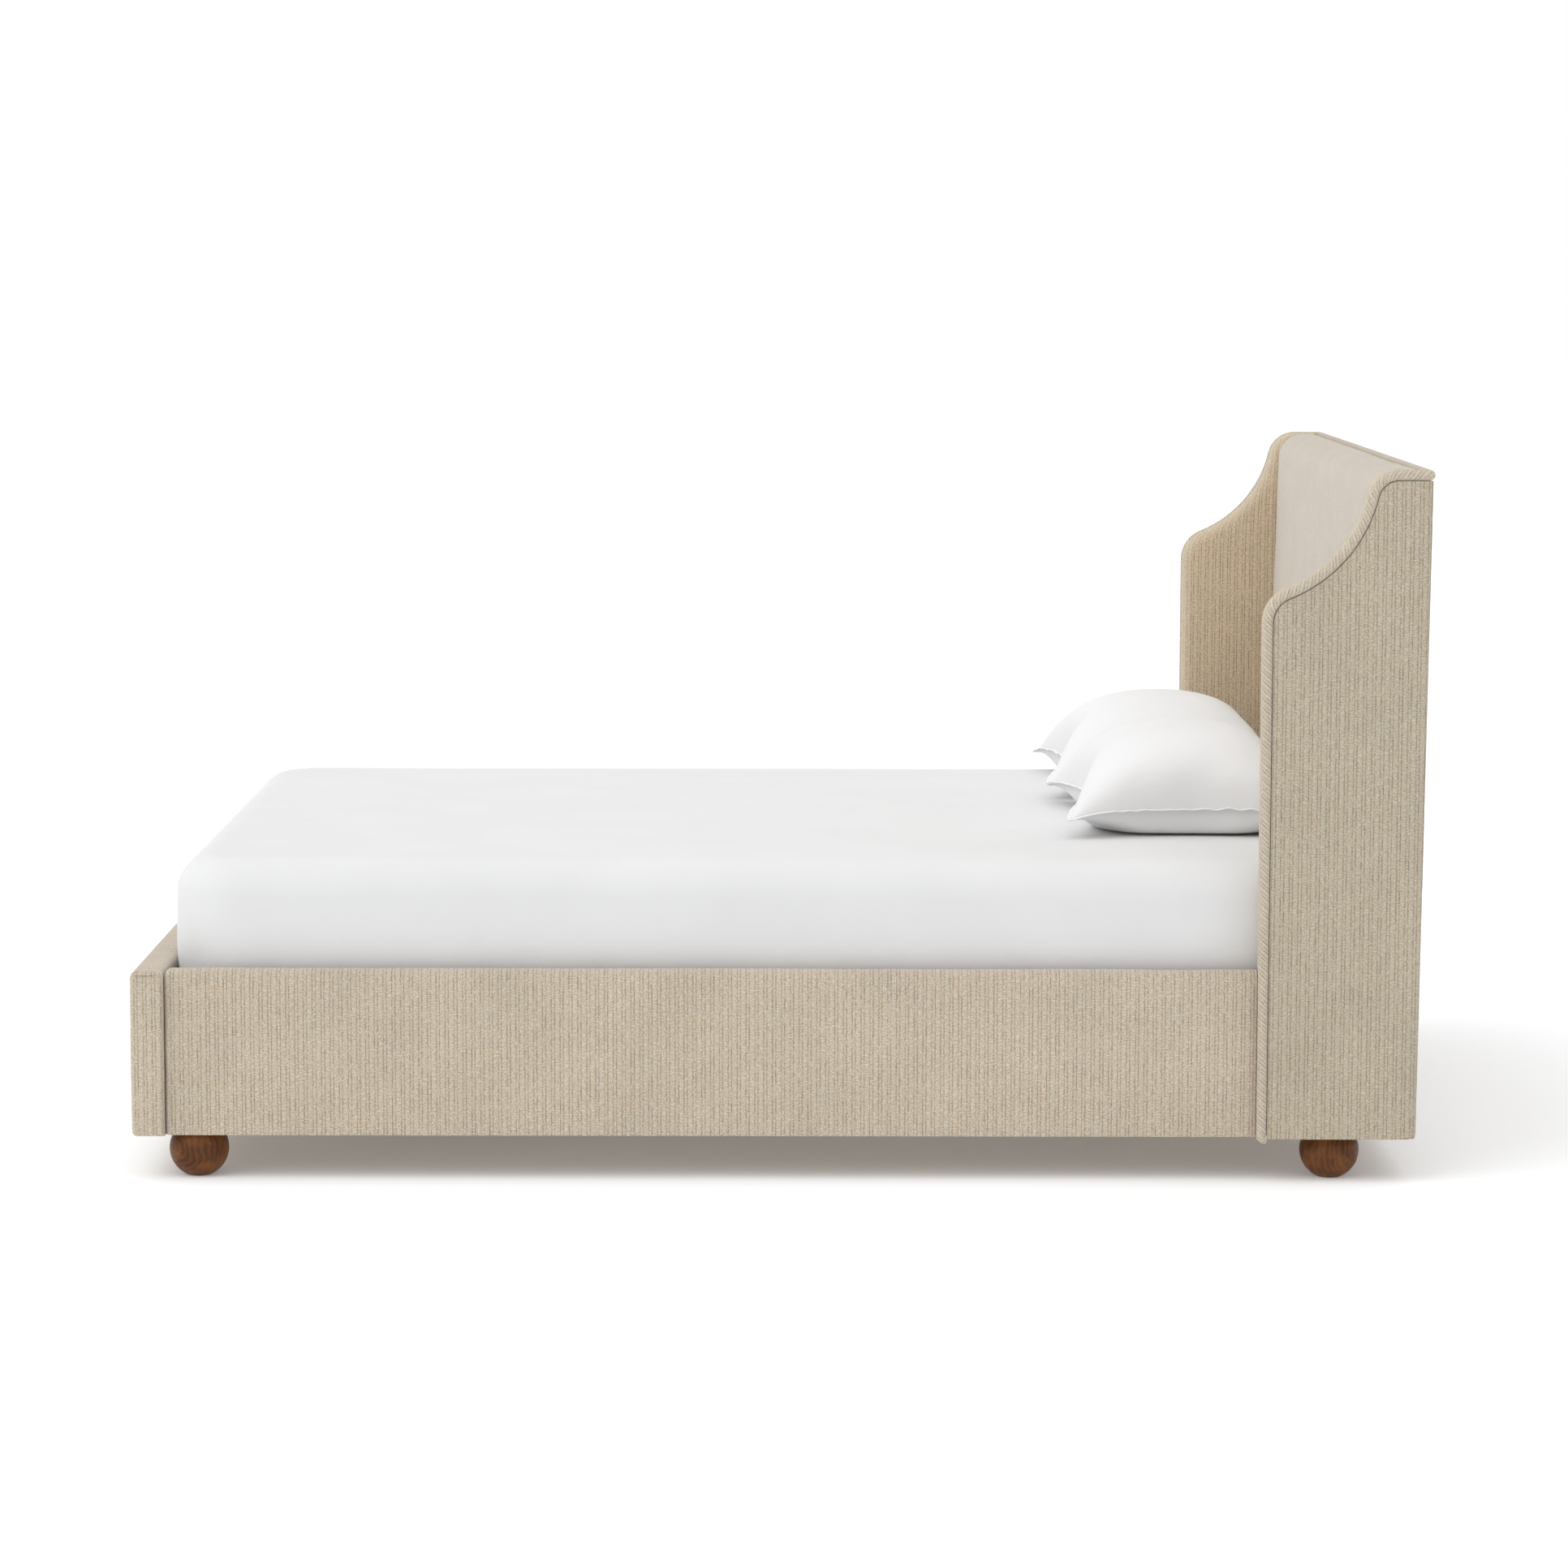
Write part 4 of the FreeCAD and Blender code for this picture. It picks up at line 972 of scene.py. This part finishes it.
def stitches(name, path, radius, pitch, share, seed):
    """A row of short thread stitches lying along a path, with a shallow arch to each one."""
    dense = even(path, 0.0005)
    s = np.concatenate([[0], np.cumsum(np.linalg.norm(np.diff(dense, axis=0), axis=1))])
    points, faces = [], []
    count = int(s[-1] / pitch)
    for k in range(count):
        wander = noise.noise(Vector((k * 0.7, seed, 0.3))) * pitch * 0.08
        a, b = (k + 0.5 - share / 2) * pitch + wander, (k + 0.5 + share / 2) * pitch + wander
        line = np.stack([np.interp(np.linspace(a, b, 5), s, dense[:, i]) for i in range(3)], 1)
        way = (line[-1] - line[0]) / np.linalg.norm(line[-1] - line[0])
        side = np.cross(way, (0.3, 0.5, 0.81))
        side /= np.linalg.norm(side)
        other = np.cross(way, side)
        start = len(points)
        for t, p in zip(np.linspace(0, 1, 5), line):
            r = radius * (0.35 + 0.65 * math.sin(math.pi * (0.12 + 0.76 * t)))
            for q in range(6):
                c = 2 * math.pi * q / 6
                points.append(p + (side * math.cos(c) + other * math.sin(c)) * r)
        rings = [range(start + 6 * i, start + 6 * i + 6) for i in range(5)]
        faces += bands(rings) + [tuple(rings[0]), tuple(rings[-1])[::-1]]
    return make(name, points, faces)


def thread(name, color):
    """Twisted sewing thread."""
    n = Nodes(name)
    point, (x, y, z) = n.place()
    twist = n.wave(n.add(n.add(x, y), z), 0.0006)
    made = n.mix(n.ramp(twist, -1.0, 1.0, 0.0, 0.5), color, tuple(c * 0.6 for c in color))
    return n.finish(made, n.ramp(twist, -1.0, 1.0, 0.6, 0.8), n.bump(twist, 0.0001, 0.5))


THREAD = thread("oatmeal_thread", (0.30, 0.24, 0.17))

for side, sign in SIDES.items():
    y = sign * (FOOT_HALF + 0.0001)
    seam = stitches("footboard_end_seam_" + side,
                    [(FOOT_OUT + 0.009, y, RAIL_TOP - 0.0085), (FOOT_IN - 0.011, y, RAIL_TOP - 0.0080)],
                    0.0007, 0.0046, 0.82, 2.0 + sign)
    finish_piece(seam, THREAD, "bed", "upholstery")


# ---------------------------------------------------------------- mattress and fitted sheet

MAT_X = (-1.048, 0.982)
MAT_Y = 0.762
MAT_TOP, MAT_LOW = 0.543, 0.2395
CORNER = 0.110


def plan(grow):
    """The mattress outline from above, with rounded corners, grown outward."""
    x0, x1, y1 = MAT_X[0] - grow, MAT_X[1] + grow, MAT_Y + grow
    r = CORNER + grow
    loop = []
    corners = [(x1 - r, y1 - r, 0.0), (x0 + r, y1 - r, 0.5), (x0 + r, -y1 + r, 1.0), (x1 - r, -y1 + r, 1.5)]
    arcs = [arc(cx, cy, r, quarter * math.pi, (quarter + 0.5) * math.pi, 14) for cx, cy, quarter in corners]
    for k, bend in enumerate(arcs):
        loop += bend[:-1] + run(bend[-1], arcs[(k + 1) % 4][0], 46 if k % 2 else 60)
    return np.array(loop)


def side_profile(top, low, r, belly, waist):
    """(growth, height) from the bottom edge round the side and over the top edge."""
    out = [(-r + r * math.cos(a) - waist, low + r + r * math.sin(a)) for a in np.linspace(-math.pi / 2, 0, 8)]
    for t in np.linspace(0, 1, 14)[1:-1]:
        z = low + r + (top - low - 2 * r) * t
        swell = belly * math.sin(math.pi * t) - waist * max(0.0, 1 - t / 0.55) ** 1.6
        out.append((swell, z))
    out += [(-r + r * math.cos(a), top - r + r * math.sin(a)) for a in np.linspace(0, math.pi / 2, 12)]
    return out


def skin_loops(profile, inner, crown, top):
    """Closed loops for a profile, then loops closing in over the top."""
    loops = [[(x, y, z) for x, y in plan(grow)] for grow, z in profile]
    edge = plan(profile[-1][0])
    centre = edge.mean(0)
    for t in np.linspace(1, 0, inner)[1:]:
        ring = centre + (edge - centre) * max(t, 0.004)
        loops.append([(x, y, top + crown * (1 - t**3)) for x, y in ring])
    return loops


MAT_R = 0.060
profile = side_profile(MAT_TOP - 0.001, MAT_LOW + 0.001, MAT_R - 0.002, 0.0, 0.012)
profile = [(-0.30, MAT_LOW + 0.001), (-0.16, MAT_LOW + 0.001)] + [(g - 0.0012, z) for g, z in profile]
loops = skin_loops(profile, 16, 0.0, MAT_TOP - 0.001)
mattress = loft("mattress_block", loops)
finish_piece(mattress, TICKING, "mattress", "ticking", "mattress")

SHEET_TOP, SHEET_LOW = 0.5441, 0.2384
TUCK_Z = 0.245  # what lies lower is tucked under, and flat
profile = side_profile(SHEET_TOP, SHEET_LOW, MAT_R + 0.001, 0.0022, 0.009)
tuck = [(-g, SHEET_LOW + 0.0002) for g in np.linspace(0.120, 0.062, 7)]
profile = tuck + [(g + 0.0006, z) for g, z in profile]
loops = skin_loops(profile, 44, -0.0002, SHEET_TOP)
cloth = loft("sheet_fitted", loops, base=False)
moved = points_of(cloth)
for i, ((x, y, z), normal) in enumerate(zip(moved.copy(), normals_of(cloth))):
    down = min(1.0, max(0.0, (0.505 - z) / 0.16))
    from_end = min(x - MAT_X[0], MAT_X[1] - x)
    near_corner = math.exp(-(((abs(y) - MAT_Y) / 0.16) ** 2 + (from_end / 0.16) ** 2))
    middle_x = MAT_X[0] + CORNER if x < 0 else MAT_X[1] - CORNER
    spin = math.atan2(y - math.copysign(MAT_Y - CORNER, y), x - middle_x)
    phase = spin * 26 + 1.3 * noise.noise(Vector((spin * 3, z * 6, 1.0)))
    pleat = math.sin(phase) * 0.0022 * down * near_corner
    drag = 0.0011 * noise.fractal(Vector((x * 2.2, y * 2.2, z * 9)), 0.7, 2.0, 3) * (0.35 + 0.65 * down)
    under_pillows = z > SHEET_TOP - 0.001 and x > 0.40
    lift = pleat + (0.0 if under_pillows else drag)
    if z >= TUCK_Z:
        moved[i] += normal * lift
set_points(cloth, moved)
finish_piece(cloth, SHEET, "mattress", "cotton", "fitted_sheet")


# ---------------------------------------------------------------- pillows

PILLOW_X = 0.745
PILLOW_REST = 0.5449
PILLOW_SIZE = (0.470, 0.586, 0.1855)
CASE = (0.508, 0.660)


def pillow_case(name, cols, rows, seed):
    """A flat case of two layers sewn round the edge, barely open, ready to be filled."""
    points, faces = [], []
    index = {}
    for layer in (1, -1):
        for i in range(cols + 1):
            for j in range(rows + 1):
                rim = i in (0, cols) or j in (0, rows)
                if rim and layer < 0:
                    index[layer, i, j] = index[1, i, j]
                    continue
                u, v = i / cols, j / rows
                x, y = (u - 0.5) * CASE[0], (v - 0.5) * CASE[1]
                puff = (16 * u * (1 - u) * v * (1 - v)) ** 0.5 * 0.030
                puff += 0.002 * noise.noise(Vector((x * 14, y * 14, seed + layer))) if not rim else 0
                index[layer, i, j] = len(points)
                points.append((x, y, 0.0 if rim else layer * puff))
    for layer in (1, -1):
        for i in range(cols):
            for j in range(rows):
                quad = tuple(index[layer, a, b] for a, b in ((i, j), (i + 1, j), (i + 1, j + 1), (i, j + 1)))
                faces.append(quad if layer > 0 else quad[::-1])
    rim = [(i, 0) for i in range(cols)] + [(cols, j) for j in range(rows)]
    rim += [(i, rows) for i in range(cols, 0, -1)] + [(0, j) for j in range(rows, 0, -1)]
    mesh = raw_mesh(name, points, faces)
    soften(mesh)
    return put_in_scene(name, mesh), [index[1, i, j] for i, j in rim]


def fill(item, pressure, frames):
    """Blow the case up as cloth, with no gravity, and keep the result."""
    step = item.modifiers.new("Cloth", "CLOTH")
    s = step.settings
    s.quality = 6
    s.mass = 0.25
    s.tension_stiffness = 40
    s.compression_stiffness = 40
    s.shear_stiffness = 12
    s.bending_stiffness = 0.25
    s.air_damping = 2.0
    s.use_pressure = True
    s.uniform_pressure_force = pressure
    s.effector_weights.gravity = 0.0
    step.collision_settings.use_collision = False
    step.collision_settings.use_self_collision = False
    step.point_cache.frame_start = 1
    step.point_cache.frame_end = frames
    scene = bpy.context.scene
    for f in range(1, frames + 1):
        scene.frame_set(f)
    bake(item)
    scene.frame_set(1)


def dome(u, v):
    """The even swell of a filled case, 1 in the middle and 0 along its seams."""
    return np.maximum((1 - np.abs(u) ** 2.1) * (1 - np.abs(v) ** 2.4), 0.0) ** 0.62


def even_out(flat, cols, rows, times):
    """Ease the seam along itself, then the two layers' points sideways among their neighbours."""
    whole = (cols + 1) * (rows + 1)
    top = flat[:whole].reshape(cols + 1, rows + 1, 2).copy()
    under = top.copy()
    under[1:-1, 1:-1] = flat[whole:].reshape(cols - 1, rows - 1, 2)
    for side in (np.s_[0, :], np.s_[-1, :], np.s_[:, 0], np.s_[:, -1]):
        line = top[side].copy()
        for _ in range(SEAM_EASE):
            line[1:-1] = 0.5 * line[1:-1] + 0.25 * (line[2:] + line[:-2])
        top[side] = under[side] = line
    for sheet in (top, under):
        for _ in range(times):
            sheet[1:-1, 1:-1] = 0.5 * sheet[1:-1, 1:-1] + 0.125 * (
                sheet[2:, 1:-1] + sheet[:-2, 1:-1] + sheet[1:-1, 2:] + sheet[1:-1, :-2])
    return np.concatenate([top.reshape(-1, 2), under[1:-1, 1:-1].reshape(-1, 2)])


def settle(item, cols, rows, sink, seed):
    """Bring the case to its resting shape, mostly the computed dome: flat below, crowned above."""
    p = points_of(item)
    p = p - (p.min(0) + p.max(0)) / 2
    grid = np.array([(i, j) for i in range(cols + 1) for j in range(rows + 1)], float)
    inner = np.array([(i, j) for i in range(1, cols) for j in range(1, rows)], float)
    grid = np.concatenate([grid, inner])
    u, v = 2 * grid[:, 0] / cols - 1, 2 * grid[:, 1] / rows - 1
    upper = np.arange(len(p)) < (cols + 1) * (rows + 1)
    seam = (np.abs(u) > 0.999) | (np.abs(v) > 0.999)
    p[:, 2] -= p[seam, 2].mean()
    tall, low = p[:, 2].max(), -p[:, 2].min()
    p[:, 0] *= PILLOW_SIZE[0] / np.ptp(p[:, 0])
    p[:, 1] *= PILLOW_SIZE[1] / np.ptp(p[:, 1])
    p[:, :2] = even_out(p[:, :2], cols, rows, 20)
    swell = dome(u * 0.999, v * 0.999)
    crown = PILLOW_SIZE[2] - sink
    high = crown * (DOME_SHARE * swell + (1 - DOME_SHARE) * p[:, 2] / tall)
    depth = DOME_SHARE * swell - (1 - DOME_SHARE) * p[:, 2] / low
    floor_z = -sink * (1 - np.exp(-np.maximum(depth, 0) / 0.20)) / (1 - math.exp(-1 / 0.20))
    floor_z *= 1 - 0.75 * np.clip((np.abs(u) + np.abs(v) - 1.25) / 0.6, 0, 1)
    p[:, 2] = np.where(seam, 0.25 * p[:, 2], np.where(upper, high, floor_z))
    corner = np.clip((np.abs(u) + np.abs(v) - 1.35) / 0.65, 0, 1)
    reach = np.clip(p[:, 2] / -sink, 0, 1)
    p[:, 2] -= sink * 0.44 * corner**1.3 * (1 - reach)
    for i in range(len(p)):
        wave = noise.noise(Vector((p[i, 0] * 8 + seed, p[i, 1] * 8, seed)))
        edge = max(0.0, (max(abs(u[i]), abs(v[i])) - 0.80) / 0.20)
        p[i, 2] += 0.007 * edge * wave * (1 - reach[i])
    p[:, 2] = np.maximum(p[:, 2], -sink) + sink + PILLOW_REST
    p[:, 0] += PILLOW_X
    set_points(item, p)


def smooth(item, times, factor):
    """Relax the mesh, divide it once and keep the result."""
    step = item.modifiers.new("relax", "SMOOTH")
    step.iterations = times
    step.factor = factor
    sub = item.modifiers.new("fine", "SUBSURF")
    sub.levels = sub.render_levels = 1
    bpy.context.view_layer.update()
    bake(item)
    soften(item.data)


def seam_edge(name, path, seed):
    """The sewn edge of a pillow case: a thin flattened roll that follows its seam all the way round."""
    path = even(np.concatenate([path, path[:1]]), 0.003)[:-1]
    centre = path.mean(0)
    ahead = np.roll(path, -2, 0) - np.roll(path, 2, 0)
    ahead /= np.linalg.norm(ahead, axis=1)[:, None]
    out = np.cross(ahead, (0.0, 0.0, 1.0))
    out /= np.linalg.norm(out, axis=1)[:, None]
    way = np.sign(np.sum(out * (path - centre), 1).sum())
    points = []
    around = 10
    for k, (p, t, o) in enumerate(zip(path, ahead, out * way)):
        up = np.cross(o, t)
        up *= np.sign(up[2])
        swing = 0.0030 * noise.noise(Vector((k * 0.14, seed, 1.0)))
        middle = p + o * 0.0030 + up * swing
        for q in range(around):
            a = 2 * math.pi * q / around
            points.append(middle + o * EDGE_WIDE * math.cos(a) + up * EDGE_THICK * math.sin(a))
    rings = [range(k * around, (k + 1) * around) for k in range(len(path))]
    return make(name, points, bands(rings + rings[:1]))


PILLOW_COLS, PILLOW_ROWS = 46, 58
PILLOW_SINK = 0.050
DOME_SHARE = 0.84
SEAM_EASE = 60
EDGE_WIDE, EDGE_THICK = 0.0068, 0.0015
for side, y, seed in (("right", -0.141, 2.0), ("left", 0.449, 7.0)):
    pillow, rim = pillow_case("pillow_soft_" + side, PILLOW_COLS, PILLOW_ROWS, seed)
    fill(pillow, 9.0, 26)
    settle(pillow, PILLOW_COLS, PILLOW_ROWS, PILLOW_SINK, seed)
    p = points_of(pillow)
    p[:, 1] += y
    set_points(pillow, p)
    smooth(pillow, 6, 0.5)
    p = points_of(pillow)[rim]
    finish_piece(pillow, COTTON, "pillow_" + side, "cotton", "pillow_" + side)
    edge = seam_edge("pillow_edge_" + side, p, seed)
    finish_piece(edge, COTTON, "pillow_" + side, "cotton")


# ---------------------------------------------------------------- floor, light, camera

FLOOR_HALF, FLOOR_Z = 60.0, -0.0002
FLOOR_GLOW = 0.14
AMBIENT = 0.80
WHITE = (1.0, 1.0, 1.0, 1.0)

corners = [(x * FLOOR_HALF, y * FLOOR_HALF, FLOOR_Z) for x, y in ((-1, -1), (1, -1), (1, 1), (-1, 1))]
floor = make("floor", corners, [(0, 1, 2, 3)], smooth=False, fix=False)
n = Nodes("studio_floor")
point, _ = n.place()
shade = n.ramp(n.noise(point, 0.6, 2.0), 0.3, 0.7, 0.89, 0.92)
paint = n.vector(n.mul(shade, 0.985), shade, n.mul(shade, 1.02))
floor.data.materials.append(n.finish(paint, 0.9, Emission_Strength=FLOOR_GLOW, Emission_Color=WHITE))

world = bpy.data.worlds.new("studio")
bpy.context.scene.world = world
world.use_nodes = True
tree = world.node_tree
tree.nodes.clear()
out = tree.nodes.new("ShaderNodeOutputWorld")
blend = tree.nodes.new("ShaderNodeMixShader")
rays = tree.nodes.new("ShaderNodeLightPath")
tree.links.new(rays.outputs["Is Camera Ray"], blend.inputs[0])
for socket, strength in ((1, AMBIENT), (2, 1.0)):
    glow = tree.nodes.new("ShaderNodeBackground")
    glow.inputs[0].default_value = WHITE
    glow.inputs[1].default_value = strength
    tree.links.new(glow.outputs[0], blend.inputs[socket])
tree.links.new(blend.outputs[0], out.inputs[0])


def sun(name, towards, power, spread):
    """A wide, soft light from far away, coming from the given direction."""
    data = bpy.data.lights.new(name, "SUN")
    data.energy = power
    data.angle = math.radians(spread)
    item = bpy.data.objects.new(name, data)
    item.rotation_euler = Vector(towards).to_track_quat("Z", "Y").to_euler()
    bpy.context.scene.collection.objects.link(item)


sun("key", (-0.64, -0.36, 0.76), 0.84, 50)
sun("overhead", (-0.15, 0.05, 1.0), 0.70, 80)

PITCH = math.radians(6.55)
ROLL = math.radians(0.10)
EYE = (0.0093, -8.736, 1.5967)
camera = bpy.data.cameras.new("camera")
camera.sensor_width = 36.0
camera.lens = 107.236025
camera.clip_end = 200.0
viewer = bpy.data.objects.new("camera", camera)
aim = Matrix.Rotation(math.pi / 2 - PITCH, 4, "X") @ Matrix.Rotation(ROLL, 4, "Z")
viewer.matrix_world = Matrix.Translation(EYE) @ aim
bpy.context.scene.collection.objects.link(viewer)
bpy.context.scene.camera = viewer
bpy.context.scene.view_settings.view_transform = "Standard"
bpy.context.scene.view_settings.look = "None"
